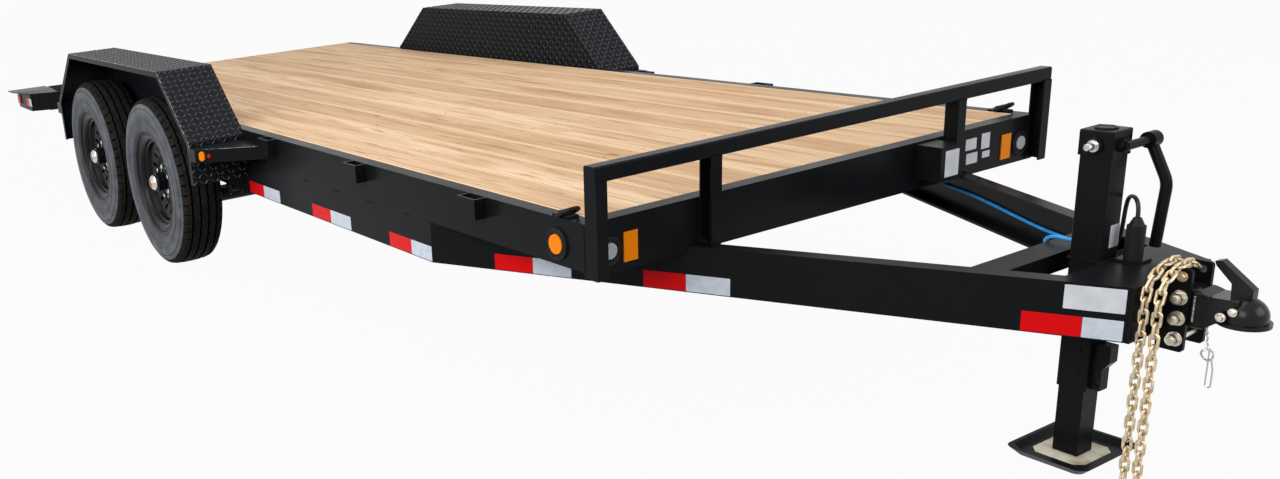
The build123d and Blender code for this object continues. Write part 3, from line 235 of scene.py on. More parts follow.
world = bpy.data.worlds.new("studio")
world.use_nodes = True
bpy.context.scene.world = world
world_tree = world.node_tree
backdrop = world_tree.nodes["Background"]
backdrop.inputs["Color"].default_value = (1.0, 1.0, 1.0, 1.0)
backdrop.inputs["Strength"].default_value = 1.0
room_fill = {"Color": (0.93, 0.96, 1.0, 1.0), "Strength": 0.40}
room = new_node(world_tree, "ShaderNodeBackground", room_fill)
show_backdrop(
    world_tree, room.outputs["Background"], backdrop.outputs["Background"], 1.0, "World Output",
)


def soft_light(name, place, target, size, power):
    """A large soft box that points at a place on the trailer."""
    light = bpy.data.lights.new(name, "AREA")
    light.shape = "RECTANGLE"
    light.size, light.size_y = size
    light.energy = power
    aim = (Vector(target) - Vector(place)).to_track_quat("-Z", "Y")
    put_in(name, light).matrix_world = Matrix.Translation(place) @ aim.to_matrix().to_4x4()


soft_light("overhead", (0.5, 0.0, 5.5), (0.0, 0.0, 0.0), (9.0, 5.0), 226.0)
soft_light("near_side", (2.0, -6.0, 3.2), (0.5, 0.0, 0.5), (7.0, 3.0), 330.0)
soft_light("front", (7.5, 1.5, 3.0), (1.5, 0.0, 0.5), (4.0, 3.0), 130.0)

# ------ black paint
# All the folded, rolled and welded steel of the frame wears one gloss black
# powder coat, with the fine orange peel that such a coat has.
frame_black = new_finish("frame_black", (0.0065, 0.0070, 0.0080), 0.30, 0.055)
mottle(frame_black, 3.0, 0.24, 0.38, detail=6.0, socket="Roughness")
roughen(frame_black, 220.0, 0.06, 0.0006, 2.0)
dress(
    frame_black,
    "side_rail_right", "side_rail_left", "tongue_beam_right", "tongue_beam_left",
    "front_header", "tail_channel", "cross_members", "front_rail", "stake_pockets",
    "fender_braces", "equipment_box", "equipment_box_lid", "coupler_bracket",
    "jack_mount", "jack_tube", "jack_head", "jack_leg", "jack_foot",
    "tail_lamp_boxes", "tie_down_straps", "plug_holder", "jack_crank",
)

# ------ deck
# Planks of pale treated pine, planed smooth, laid lengthwise and screwed to
# the cross-members.
plank_pitch = 0.16882
member_pitch = 0.610
pine = new_finish("pine", (0.62, 0.42, 0.25), 0.6, 0.12)
pine_tree = pine.node_tree
pine_place = pine_tree.nodes.new("ShaderNodeTexCoord").outputs["Object"]
own = new_node(pine_tree, "ShaderNodeSeparateXYZ", {"Vector": pine_place}).outputs
plank_at = reckon(pine_tree, "MULTIPLY_ADD", own["Y"], 1.0 / plank_pitch, 5.5)
plank_number = {"W": reckon(pine_tree, "FLOOR", plank_at)}
plank_chance = new_node(pine_tree, "ShaderNodeTexWhiteNoise", plank_number, noise_dimensions="1D")
plank_shift = reckon(pine_tree, "MULTIPLY_ADD", plank_chance.outputs["Value"], 37.0, own["X"])
shift_fill = {"X": plank_shift, "Y": own["Y"], "Z": own["Z"]}
grain_place = new_node(pine_tree, "ShaderNodeCombineXYZ", shift_fill).outputs["Vector"]


def drawn_out(stretch):
    """The planks' own coordinates, drawn out along them."""
    fill = {"Vector": grain_place, "Scale": stretch}
    return new_node(pine_tree, "ShaderNodeMapping", fill).outputs["Vector"]


def grain(stretch, detail, distortion):
    """Noise drawn out along the planks."""
    fill = {"Vector": drawn_out(stretch), "Scale": 1.0, "Detail": detail, "Distortion": distortion}
    return new_node(pine_tree, "ShaderNodeTexNoise", fill).outputs["Fac"]


def stain(below, value, colour, start, end):
    """Lays a colour over the wood where a pattern is high."""
    fill = {"Value": value, "From Min": start, "From Max": end}
    reach = new_node(pine_tree, "ShaderNodeMapRange", fill).outputs["Result"]
    fill = {"A": below, "B": (*colour, 1.0), "Factor": reach}
    return new_node(pine_tree, "ShaderNodeMix", fill, data_type="RGBA").outputs["Result"]


from_seam = reckon(pine_tree, "SUBTRACT", reckon(pine_tree, "FRACT", plank_at), 0.5)
from_seam = reckon(pine_tree, "ABSOLUTE", from_seam)
broad = grain((0.9, 9.0, 9.0), 5.0, 0.8)
figure = grain((2.4, 42.0, 30.0), 6.0, 1.2)
fibre = grain((14.0, 420.0, 200.0), 3.0, 0.2)
knot_fill = {"Vector": drawn_out((1.6, 5.0, 2.0)), "Scale": 1.0}
knots = new_node(pine_tree, "ShaderNodeTexVoronoi", knot_fill).outputs["Distance"]
wood = (0.74, 0.53, 0.34, 1.0)
for pattern, colour, start, end in (
    (plank_chance.outputs["Value"], (0.54, 0.345, 0.195), 0.15, 1.0),
    (broad, (0.45, 0.255, 0.13), 0.45, 0.69),
    (figure, (0.34, 0.185, 0.092), 0.53, 0.74),
    (fibre, (0.62, 0.40, 0.22), 0.5, 0.9),
    (knots, (0.25, 0.12, 0.05), 0.075, 0.02),
    # The lighter band along each plank's edge, beside the seam, is a painted highlight; the dark line at the
    # seam is the joint.
    (from_seam, (0.90, 0.66, 0.40), 0.440, 0.462),
    (from_seam, (0.30, 0.17, 0.09), 0.482, 0.492),
):
    wood = stain(wood, pattern, colour, start, end)
pine_tree.links.new(wood, pine_tree.nodes["Principled BSDF"].inputs["Base Color"])
add_bump(pine, figure, 0.25, 0.0012)
add_bump(pine, fibre, 0.25, 0.0006)
dress(pine, "deck_boards", "dovetail_boards")


def new_group(name, sockets):
    """A geometry tree with its inputs named, and the outputs of those."""
    tree = bpy.data.node_groups.new(name, "GeometryNodeTree")
    for label, kind in {"Geometry": "Geometry", **sockets, "Seed": "Int", "Finish": "Material"}.items():
        tree.interface.new_socket(label, in_out="INPUT", socket_type="NodeSocket" + kind)
    tree.interface.new_socket("Geometry", in_out="OUTPUT", socket_type="NodeSocketGeometry")
    return tree, tree.nodes.new("NodeGroupInput").outputs


def set_items(tree, given, points, rotation, item, swing):
    """Sets an item of varied size on each point, makes it real and paints it."""
    fill = {2: 1.0 - swing, 3: 1.0 + swing, "Seed": given["Seed"]}
    size = new_node(tree, "FunctionNodeRandomValue", fill, data_type="FLOAT").outputs[1]
    fill = {"Points": points, "Instance": item, "Rotation": rotation, "Scale": size}
    put = new_node(tree, "GeometryNodeInstanceOnPoints", fill).outputs["Instances"]
    real = new_node(tree, "GeometryNodeRealizeInstances", {"Geometry": put}).outputs["Geometry"]
    fill = {"Geometry": real, "Material": given["Finish"]}
    painted = new_node(tree, "GeometryNodeSetMaterial", fill).outputs["Geometry"]
    new_node(tree, "NodeGroupOutput", {"Geometry": painted})
    return tree


grid_numbers = ("Length", "Width", "Pitch Along", "Pitch Across", "Front Slope", "Rear Slope", "Turn")


def grid_tree():
    """Sets one item at each crossing of a tapered grid, turned to and fro."""
    tree, given = new_group("item_grid", {**dict.fromkeys(grid_numbers, "Float"), "Item": "Object"})
    counts = []
    for size, pitch in (("Length", "Pitch Along"), ("Width", "Pitch Across")):
        count = reckon(tree, "ROUND", reckon(tree, "DIVIDE", given[size], given[pitch]))
        counts.append(reckon(tree, "ADD", count, 1.0))
    fill = {
        "Size X": given["Length"], "Size Y": given["Width"],
        "Vertices X": counts[0], "Vertices Y": counts[1],
    }
    grid = new_node(tree, "GeometryNodeMeshGrid", fill).outputs["Mesh"]
    index = tree.nodes.new("GeometryNodeInputIndex").outputs[0]
    row = reckon(tree, "FLOOR", reckon(tree, "DIVIDE", index, counts[1]))
    column = reckon(tree, "SUBTRACT", index, reckon(tree, "MULTIPLY", row, counts[1]))
    parity = reckon(tree, "MODULO", reckon(tree, "ADD", row, column), 2.0)
    sign = reckon(tree, "MULTIPLY_ADD", parity, 2.0, -1.0)
    place = tree.nodes.new("GeometryNodeInputPosition").outputs[0]
    split = new_node(tree, "ShaderNodeSeparateXYZ", {0: place}).outputs
    reach = reckon(tree, "ADD", reckon(tree, "MULTIPLY", given["Length"], 0.5), 0.001)
    rise = reckon(tree, "MULTIPLY_ADD", given["Width"], 0.5, split["Y"])
    front = reckon(tree, "SUBTRACT", reach, reckon(tree, "MULTIPLY", rise, given["Front Slope"]))
    rear = reckon(tree, "SUBTRACT", reckon(tree, "MULTIPLY", rise, given["Rear Slope"]), reach)
    past_front = reckon(tree, "GREATER_THAN", split["X"], front)
    past_rear = reckon(tree, "LESS_THAN", split["X"], rear)
    turned = {"Z": reckon(tree, "MULTIPLY", sign, given["Turn"])}
    # The turn is worked out before the cut, since the cut renumbers the points.
    keep = tree.nodes.new("GeometryNodeCaptureAttribute")
    keep.capture_items.new("VECTOR", "Turned")
    tree.links.new(grid, keep.inputs["Geometry"])
    turn = new_node(tree, "ShaderNodeCombineXYZ", turned).outputs[0]
    tree.links.new(turn, keep.inputs["Turned"])
    fill = {"Geometry": keep.outputs["Geometry"], "Selection": reckon(tree, "ADD", past_front, past_rear)}
    cut = new_node(tree, "GeometryNodeDeleteGeometry", fill).outputs["Geometry"]
    item = new_node(tree, "GeometryNodeObjectInfo", {"Object": given["Item"]}).outputs["Geometry"]
    return set_items(tree, given, cut, keep.outputs["Turned"], item, 0.06)


def mesh_of(name, form):
    """Turns a bmesh into a mesh."""
    mesh = bpy.data.meshes.new(name)
    form.to_mesh(mesh)
    form.free()
    return mesh


def repeat(tree, values, source=None):
    """Runs a tree once and hands back the mesh that it makes."""
    thing = put_in("repeat", source or bpy.data.meshes.new("repeat"))
    modifier = thing.modifiers.new("repeat", "NODES")
    modifier.node_group = tree
    for socket in tree.interface.items_tree:
        if socket.in_out == "INPUT" and socket.name in values:
            modifier[socket.identifier] = values[socket.name]
    depsgraph = bpy.context.evaluated_depsgraph_get()
    mesh = bpy.data.meshes.new_from_object(thing.evaluated_get(depsgraph))
    bpy.data.objects.remove(thing)
    return mesh


def lay_grid(item, finish, seed, *numbers):
    """Lays one item all over a sheet, with numbers in the order of the grid's."""
    values = {"Item": item, "Finish": finish, "Seed": seed, **dict(zip(grid_numbers, numbers))}
    return repeat(item_grid, values)


def piece(name, form, finishes, body="trailer_frame", smooth=35.0):
    """Turns a bmesh or a mesh into a piece that rides with one body."""
    mesh = form
    if isinstance(form, bmesh.types.BMesh):
        bmesh.ops.recalc_face_normals(form, faces=form.faces[:])
        mesh = mesh_of(name, form)
    else:
        mesh.materials.clear()
    for finish in finishes if isinstance(finishes, (list, tuple)) else [finishes]:
        mesh.materials.append(finish)
    mesh.shade_smooth()
    mesh.set_sharp_from_angle(angle=radians(smooth))
    thing = put_in(name, mesh)
    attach(thing, body)
    return thing


def facing(point, direction, spin=0.0):
    """A place whose own Z points along a direction."""
    turn = Vector(direction).to_track_quat("Z", "Y").to_matrix().to_4x4()
    return Matrix.Translation(point) @ turn @ Matrix.Rotation(spin, 4, "Z")


def lathe(form, profile, place, steps=32):
    """Turns a profile of radii and heights around the Z of a place."""
    rings = []
    for radius, height in profile:
        count = 1 if radius < 1e-6 else steps
        turns = [2 * pi * i / steps for i in range(count)]
        ring = [Vector((radius * cos(a), radius * sin(a), height)) for a in turns]
        rings.append([form.verts.new(place @ point) for point in ring])
    for low, high in zip(rings, rings[1:]):
        for i in range(steps):
            j = (i + 1) % steps
            corners = (low[i % len(low)], low[j % len(low)], high[j % len(high)], high[i % len(high)])
            form.faces.new(list(dict.fromkeys(corners)))


screw_head = bmesh.new()
screw_profile = [
    (0.0042, -0.0004), (0.0042, 0.0002), (0.0034, 0.0007), (0.0020, 0.0008), (0.0014, 0.0002), (0.0, 0.0002),
]
lathe(screw_head, screw_profile, Matrix.Identity(4), 10)
screw_item = put_in("screw_head", mesh_of("screw_head", screw_head))
screw_dark = new_finish("screw_dark", (0.24, 0.19, 0.13), 0.45, metallic=0.6)
mottle(screw_dark, 90.0, 0.35, 0.6, socket="Roughness")
item_grid = grid_tree()
screws = bmesh.new()
for row in (-0.055, 0.055):
    screw_rows = lay_grid(
        screw_item, screw_dark, 3,
        member_pitch * 7, plank_pitch * 10, member_pitch, plank_pitch, 0.0, 0.0, 0.4,
    )
    screw_rows.transform(Matrix.Translation(spot(-member_pitch * 4.5, row, 0.0)))
    screws.from_mesh(screw_rows)
bpy.data.objects.remove(screw_item)
piece("deck_screws", screws, screw_dark)

# ------ running gear
# Two dropped tube axles on leaf springs, with hangers and equalizers of bent
# and cut plate, all dipped in satin black.
gear_black = new_finish("gear_black", (0.014, 0.014, 0.015), 0.45, 0.08)
roughen(gear_black, 150.0, 0.12, 0.0006)
dress(gear_black, "axles", "leaf_springs", "spring_hangers", "equalizers", "tie_down_rings")

# ------ wheels
# Pressed steel wheels in gloss black under radial trailer tyres. The tyres
# have five zigzag ribs, notched shoulders and plain sidewalls.
rim_black = new_finish("rim_black", (0.006, 0.0065, 0.007), 0.26, 0.14)
roughen(rim_black, 120.0, 0.05, 0.0005, 2.0)
tread_rubber = new_finish("tread_rubber", (0.016, 0.0155, 0.014), 0.75, 0.04)
mottle(tread_rubber, 30.0, (0.011, 0.011, 0.010), (0.026, 0.024, 0.021))
roughen(tread_rubber, 700.0, 0.15, 0.0005)
# The grooves and the shoulder notches take a much darker rubber: painted shade in the recesses.
groove_painted_shade = new_finish("groove_painted_shade", (0.0035, 0.0035, 0.0035), 0.85, 0.0)
side_rubber = new_finish("side_rubber", (0.060, 0.064, 0.072), 0.55, 0.25)
mottle(side_rubber, 14.0, (0.046, 0.051, 0.060), (0.120, 0.128, 0.144), detail=8.0)
mottle(side_rubber, 22.0, 0.46, 0.64, detail=5.0, socket="Roughness")
# Painted highlight and shade in rings by radius on the sidewall: lighter on the
# moulded ridges, darker just beside them and towards the rim.
rings_from, rings_to = 0.20, 0.40
side_tree = side_rubber.node_tree
side_place = side_tree.nodes.new("ShaderNodeTexCoord").outputs["UV"]
side_radius = new_node(side_tree, "ShaderNodeSeparateXYZ", {"Vector": side_place}).outputs["Y"]
side_fill = {"Value": side_radius, "From Min": rings_from, "From Max": rings_to}
side_reach = new_node(side_tree, "ShaderNodeMapRange", side_fill).outputs["Result"]
sidewall_painted_light = new_node(side_tree, "ShaderNodeValToRGB", {"Fac": side_reach})
side_stops = sidewall_painted_light.color_ramp.elements
for radius, shade in (
    (0.2290, 0.25), (0.2440, 0.45), (0.2475, 1.15), (0.2520, 0.50), (0.2700, 0.80), (0.2900, 0.62),
    (0.2975, 1.10), (0.3010, 0.55), (0.3200, 0.95), (0.3430, 1.10), (0.3460, 0.45), (0.3500, 1.05),
):
    stop = side_stops.new((radius - rings_from) / (rings_to - rings_from))
    stop.color = (shade, shade, shade, 1.0)
for end_stop, shade in ((0, 0.25), (-1, 0.90)):
    side_stops[end_stop].color = (shade, shade, shade, 1.0)
lay_over(side_rubber, sidewall_painted_light.outputs["Color"], 1.0, "MULTIPLY")
chrome = new_finish("chrome", (0.55, 0.545, 0.53), 0.16, metallic=1.0)
roughen(chrome, 160.0, 0.04, 0.0005)
plug_grey = new_finish("plug_grey", (0.30, 0.30, 0.29), 0.5)
plug_orange = new_finish("plug_orange", (0.55, 0.10, 0.04), 0.5)

period_count = 52
period_parts = (0.0, 0.08, 0.20, 0.28, 0.55, 0.78)
notch_parts = (0.08, 0.20)
groove_places = (-0.05625, -0.01875, 0.01875, 0.05625)
groove_section = ((-0.0046, 0.0), (-0.0032, 0.0085), (0.0032, 0.0085), (0.0046, 0.0))
shoulder_section = (
    (0.3866, 0.0705, 0.005, 0.0), (0.3838, 0.0800, 0.011, 0.002), (0.3755, 0.0885, 0.008, 0.0),
)
sidewall = [
    (0.366, 0.0925), (0.3655, 0.0945), (0.357, 0.0975), (0.3485, 0.1006), (0.3475, 0.0985),
    (0.3455, 0.0990), (0.3445, 0.1016), (0.325, 0.1041), (0.312, 0.1048), (0.3005, 0.1046),
    (0.2995, 0.1062), (0.2975, 0.1062), (0.2965, 0.1044), (0.284, 0.1036), (0.270, 0.1016),
    (0.258, 0.0994), (0.251, 0.0986), (0.2500, 0.1012), (0.2465, 0.1010), (0.2455, 0.0985),
    (0.240, 0.0945), (0.2342, 0.0915), (0.2318, 0.0840), (0.229, 0.0760), (0.222, 0.0722),
    (0.2036, 0.0720),
]
cap_profile = [
    (0.0374, 0.050), (0.0374, 0.0580), (0.0364, 0.0630), (0.0336, 0.0680), (0.0272, 0.0728),
    (0.0205, 0.0756), (0.0195, 0.0772), (0.0172, 0.0772), (0.0168, 0.0764), (0.0, 0.0764),
]
lug_washer = [(0.0150, -0.001), (0.0150, 0.0022), (0.0128, 0.0036), (0.0, 0.0036)]
lug_nut = [(0.0118, 0.003), (0.0118, 0.0165), (0.0098, 0.0195), (0.0060, 0.0205), (0.0, 0.0207)]
plug_profile = [(0.0166, 0.0755), (0.0166, 0.0772), (0.0150, 0.0786), (0.0060, 0.0790), (0.0, 0.0790)]
valve_profile = [
    (0.0085, 0.002), (0.0085, 0.008), (0.0055, 0.011), (0.0050, 0.030), (0.0058, 0.031),
    (0.0058, 0.042), (0.0045, 0.045), (0.0, 0.0455),
]
disc_face = 0.030
lug_circle = 0.070
valve_circle = 0.176
valve_turn = 2.2


def tyre_section(part):
    """Radii and offsets across a tyre at one place in the tread's period."""
    swing = 0.0021 * (abs(2 * part - 1) * 2 - 1)
    notch = 1.0 if part in notch_parts else 0.0
    across = []
    for place in groove_places:
        crest = 0.392 - 0.006 * (place / 0.077) ** 2
        across += [(crest - depth, place + offset + swing) for offset, depth in groove_section]
    shoulder = [
        (radius - deeper * notch, offset - narrower * notch)
        for radius, offset, deeper, narrower in shoulder_section
    ]
    outward = shoulder + sidewall
    inward = [(radius, -offset) for radius, offset in reversed(outward)]
    return inward + across + outward


def tyre_form(centre, way):
    """A tyre around its centre, from one section after another."""
    form = bmesh.new()
    flat = form.loops.layers.uv.new("tyre")
    rings = []
    for period in range(period_count):
        for part in period_parts:
            angle = 2 * pi * (period + part) / period_count
            ring = []
            for radius, offset in tyre_section(part):
                x = centre.x + radius * sin(angle)
                z = centre.z + radius * cos(angle)
                ring.append(form.verts.new((x, centre.y + way * offset, z)))
            rings.append(ring)
    edge = len(sidewall)
    for number, (first, second) in enumerate(zip(rings, rings[1:] + rings[:1])):
        for i in range(len(first)):
            j = (i + 1) % len(first)
            face = form.faces.new((first[i], first[j], second[j], second[i]))
            from_edge = min(i, len(first) - 2 - i) - edge
            groove = from_edge >= 3 and (i - edge - 3) % 4 != 3
            notch = number % len(period_parts) == 1 and 0 <= from_edge < 2
            on_tread = edge - 1 <= i < len(first) - edge
            face.material_index = 2 if groove or notch else 0 if on_tread else 1
            for loop, turn in zip(face.loops, (number, number, number + 1, number + 1)):
                reach = Vector((loop.vert.co.x - centre.x, loop.vert.co.z - centre.z)).length
                loop[flat].uv = (turn / len(rings), reach)
    return form


for end in ("front", "rear"):
    for side, way in (("left", 1.0), ("right", -1.0)):
        body = f"{end}_{side}_wheel"
        low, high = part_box(f"tyre_{end}_{side}")
        centre = (low + high) / 2
        rubbers = [tread_rubber, side_rubber, groove_painted_shade]
        form = tyre_form(centre, way)
        tyre = piece(f"tyre_{end}_{side}_tread", form, rubbers, body, 24.0)
        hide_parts(f"tyre_{end}_{side}")
        dress(rim_black, f"wheel_{end}_{side}")

        out = Vector((0.0, way, 0.0))
        disc = centre + out * disc_face
        bright = bmesh.new()
        lathe(bright, cap_profile, facing(disc, out), 40)
        for i in range(6):
            angle = pi / 3 * i + 0.4
            seat = disc + Vector((cos(angle), 0.0, sin(angle))) * lug_circle
            lathe(bright, lug_washer, facing(seat, out), 24)
            lathe(bright, lug_nut, facing(seat, out, angle), 6)
        piece(f"bright_{end}_{side}", bright, chrome, body)

        rubber = bmesh.new()
        lathe(rubber, plug_profile, facing(disc, out), 32)
        plug_finish = plug_orange if body == "front_right_wheel" else plug_grey
        piece(f"cap_plug_{end}_{side}", rubber, plug_finish, body)

        stem = bmesh.new()
        away = Vector((sin(valve_turn), 0.0, cos(valve_turn)))
        lathe(stem, valve_profile, facing(disc + away * valve_circle, out - away * 0.25), 14)
        piece(f"valve_{end}_{side}", stem, plug_black, body)

# ------ fenders
# Folded tread plate. Raised lozenges lie to and fro over every outer face,
# and the folded lip shows a lighter edge: partly wear, partly a painted highlight.
tread_black = new_finish("tread_black", (0.0072, 0.0084, 0.0105), 0.34, 0.045)
roughen(tread_black, 180.0, 0.10, 0.0006, 3.0)
# The lozenges take a copy of the fender paint with twice its colour, a painted highlight on their crests,
# and a smoother, glossier coat.
tread_crest_highlight = new_finish("tread_crest_highlight", (0.014, 0.016, 0.019), 0.20, 0.30)
roughen(tread_crest_highlight, 300.0, 0.12, 0.0005, 3.0)
dress(tread_black, "fender_right", "fender_left")
lozenge = bmesh.new()
for along, across, up_by in (
    (0.0150, 0.0, -0.0002), (0.0085, 0.0031, -0.0002), (0.0, 0.0040, -0.0002),
    (0.0090, 0.0, 0.0016), (0.0, 0.0, 0.0021), (0.0, 0.0013, 0.0019),
):
    for flip in (1, -1):
        for turn in (1, -1):
            lozenge.verts.new((along * flip, across * turn, up_by))
bmesh.ops.remove_doubles(lozenge, verts=lozenge.verts, dist=1e-6)
bmesh.ops.convex_hull(lozenge, input=lozenge.verts)
lozenge_item = put_in("lozenge", mesh_of("lozenge", lozenge))

fender_folds = [
    (-4.235, -0.240), (-4.235, -0.020), (-3.895, 0.256),
    (-2.535, 0.256), (-2.252, -0.020), (-2.252, -0.200),
]
mark_pitch = 0.0262
for side, way in (("right", -1.0), ("left", 1.0)):
    low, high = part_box(f"fender_{side}")
    middle = (low.y + high.y) / 2
    sheets = []
    for (x1, z1), (x2, z2) in zip(fender_folds, fender_folds[1:]):
        start, end = spot(x1, middle, z1), spot(x2, middle, z2)
        run = (end - start).normalized()
        out = Vector((-run.z, 0.0, run.x))
        sheets.append((start, end, run, out.cross(run), out, 0.232, 0.0, 0.0))
    # The upright inner sheet tapers to both ends.
    inner = low.y if way > 0 else high.y
    start, end = spot(-4.205, inner, 0.124), spot(-2.277, inner, 0.124)
    axes = (Vector((1.0, 0.0, 0.0)), Vector((0.0, 0.0, 1.0)), Vector((0.0, -way, 0.0)))
    sheets.append((start, end, *axes, 0.236, 1.025, 1.232))
    skin = bmesh.new()
    for number, (start, end, run, over, out, wide, front, rear) in enumerate(sheets):
        marks = lay_grid(
            lozenge_item, tread_crest_highlight, number,
            (end - start).length - 0.020, wide, mark_pitch, mark_pitch, front, rear, pi / 4,
        )
        marks.transform(place_on((start + end) / 2, run, over, out))
        skin.from_mesh(marks)
    piece(f"tread_marks_{side}", skin, tread_crest_highlight, smooth=20.0)
bpy.data.objects.remove(lozenge_item)


def tube(form, path, radius, sides=10, closed=False):
    """Sweeps a round section along a path of points."""
    path = [Vector(point) for point in path]
    rings = []
    normal = None
    last = len(path) - 1
    for i, point in enumerate(path):
        before = path[i - 1] if i or closed else point
        after = path[(i + 1) % len(path)] if i < last or closed else point
        run = (after - before).normalized()
        if normal is None:
            normal = run.orthogonal().normalized()
        normal = (normal - run * normal.dot(run)).normalized()
        side = run.cross(normal)
        turns = [2 * pi * k / sides for k in range(sides)]
        rings.append([form.verts.new(point + radius * (cos(a) * normal + sin(a) * side)) for a in turns])
    for i in range(len(path) if closed else last):
        first, second = rings[i], rings[(i + 1) % len(path)]
        for k in range(sides):
            m = (k + 1) % sides
            form.faces.new((first[k], first[m], second[m], second[k]))
    if not closed:
        form.faces.new(list(reversed(rings[0])))
        form.faces.new(rings[-1])


# A lighter speckled strip along the fender lips and the brace tops: partly paint worn through, partly a
# painted highlight where a rounded edge would catch the light.
edge_wear_and_highlight = new_finish("edge_wear_and_highlight", (0.10, 0.10, 0.105), 0.28)
mottle(edge_wear_and_highlight, 45.0, (0.02, 0.02, 0.022), (0.34, 0.34, 0.35), 0.42, 0.62, 5.0)
fender_edges = bmesh.new()
lip_folds = (
    (-4.2345, -0.10), (-4.2345, -0.020), (-3.895, 0.2555),
    (-2.535, 0.2555), (-2.2525, -0.020), (-2.2525, -0.075),
)
brace_ends = ((-2.193, 1.226), (-2.013, 0.980))
for way in (-1.0, 1.0):
    tube(fender_edges, [spot(x, way * 1.2275, z) for x, z in lip_folds], 0.0013, 6)
    tube(fender_edges, [spot(x, way * y, -0.0405) for x, y in brace_ends], 0.0012, 6)
piece("fender_edges", fender_edges, edge_wear_and_highlight)

# ------ lamps
# Sealed lamps in black rubber grommets, flat prismatic reflectors beside
# them, and red tail lamps in the boxes at the rear.
grommet_rubber = new_finish("grommet_rubber", (0.009, 0.009, 0.0095), 0.42, 0.1)
roughen(grommet_rubber, 300.0, 0.08, 0.0004)
dress(grommet_rubber, "lamp_grommets")


def prism_cells(material, scale, strength):
    """The small moulded prisms inside a lens or a reflector."""
    tree = material.node_tree
    place = tree.nodes.new("ShaderNodeTexCoord").outputs["Object"]
    fill = {"Vector": place, "Scale": scale, "Randomness": 0.15}
    cells = new_node(tree, "ShaderNodeTexVoronoi", fill).outputs["Distance"]
    add_bump(material, cells, strength, 0.0008)
    return cells


for node, name, colour, roughness, gloss, scale, strength, low, high, start, end in (
    (
        "clear_lamps", "clear_lens", (0.50, 0.52, 0.54), 0.18, 0.4, 170.0, 0.5,
        (0.72, 0.74, 0.76), (0.22, 0.23, 0.25), 0.15, 0.6,
    ),
    (
        "amber_lamps", "amber_lens", (0.78, 0.20, 0.002), 0.30, 0.12, 260.0, 0.35,
        (1.0, 0.28, 0.001), (0.84, 0.20, 0.001), 0.2, 0.7,
    ),
    (
        "red_lamps", "red_lens", (0.50, 0.006, 0.008), 0.25, 0.15, 200.0, 0.35,
        (0.56, 0.008, 0.010), (0.34, 0.004, 0.005), 0.2, 0.7,
    ),
):
    lens_finish = new_finish(name, colour, roughness, gloss)
    cells = prism_cells(lens_finish, scale, strength)
    spread(lens_finish, cells, "Base Color", low, high, start, end)
    dress(lens_finish, node)

lens_rims = bmesh.new()
for way in (-1.0, 1.0):
    for point, out, lens, ring in (
        (spot(0.0, way * 0.899, -0.088), (1.0, 0.0, 0.0), 0.0245, 0.0396),
        (spot(-0.120, way * half_y, -0.076), (0.0, way, 0.0), 0.0298, 0.0455),
    ):
        rim_profile = [
            (ring, 0.0055), (ring + 0.0004, 0.0066), (ring - 0.0020, 0.0078), (ring - 0.0045, 0.0070),
            (lens + 0.0060, 0.0068), (lens + 0.0044, 0.0084), (lens + 0.0022, 0.0086),
            (lens + 0.0012, 0.0060),
        ]
        lathe(lens_rims, rim_profile, facing(point, out), 48)
piece("lens_rims", lens_rims, grommet_rubber)


# ------ marking tape
# Retroreflective sheeting in red and white lengths, stuck along the lower
# edge of both sides, with the fine cells of such sheeting under its skin.
def skin_between(form, rings):
    """Walls between rings of corners, and a face on both ends."""
    for low, high in zip(rings, rings[1:]):
        for i in range(len(low)):
            j = (i + 1) % len(low)
            form.faces.new((low[i], low[j], high[j], high[i]))
    form.faces.new(list(reversed(rings[0])))
    form.faces.new(rings[-1])


def plate(form, width, height, thickness, place, radius=0.002, edge=0.0003):
    """A thin plate with rounded corners and broken edges, on a place."""
    rings = []
    for inset, level in ((0.0, -0.0001), (0.0, thickness - edge), (edge, thickness)):
        reach = max(radius - inset, 0.0002)
        ring = []
        for corner, (right_hand, upper) in enumerate(((1, 1), (-1, 1), (-1, -1), (1, -1))):
            x = right_hand * (width / 2 - inset - reach)
            y = upper * (height / 2 - inset - reach)
            for step in range(5):
                angle = pi / 2 * corner + pi / 8 * step
                point = Vector((x + reach * cos(angle), y + reach * sin(angle), level))
                ring.append(form.verts.new(place @ point))
        rings.append(ring)
    skin_between(form, rings)


def upright(point, along, out):
    """A place on a wall: X along it, Y up and Z out of it."""
    along = Vector(along).normalized()
    out = Vector(out).normalized()
    return place_on(point, along, out.cross(along), out)


def on_rail(x, way, height, y=half_y):
    """A place on the outer side of the frame, ahead of the header."""
    return upright(spot(x, way * y, height), (-way, 0.0, 0.0), (0.0, way, 0.0))


def on_beam(middle, way, height):
    """A place on the outer side of a tongue beam, by its distance from the bend."""
    point = spot(bend_x + slant.x * middle, way * (half_y - slant.y * middle), height)
    along = Vector((slant.x, -way * slant.y, 0.0)) * -way
    return upright(point, along, (along.y, -along.x, 0.0))


tape_red = new_finish("tape_red", (0.72, 0.002, 0.004), 0.32, 0.12)
tape_white = new_finish("tape_white", (0.60, 0.65, 0.73), 0.32, 0.2)
mottle(tape_white, 40.0, (0.54, 0.59, 0.67), (0.66, 0.71, 0.78))
for tape in (tape_red, tape_white):
    add_bump(tape, prism_cells(tape, 330.0, 0.25), 0.05, 0.0003)

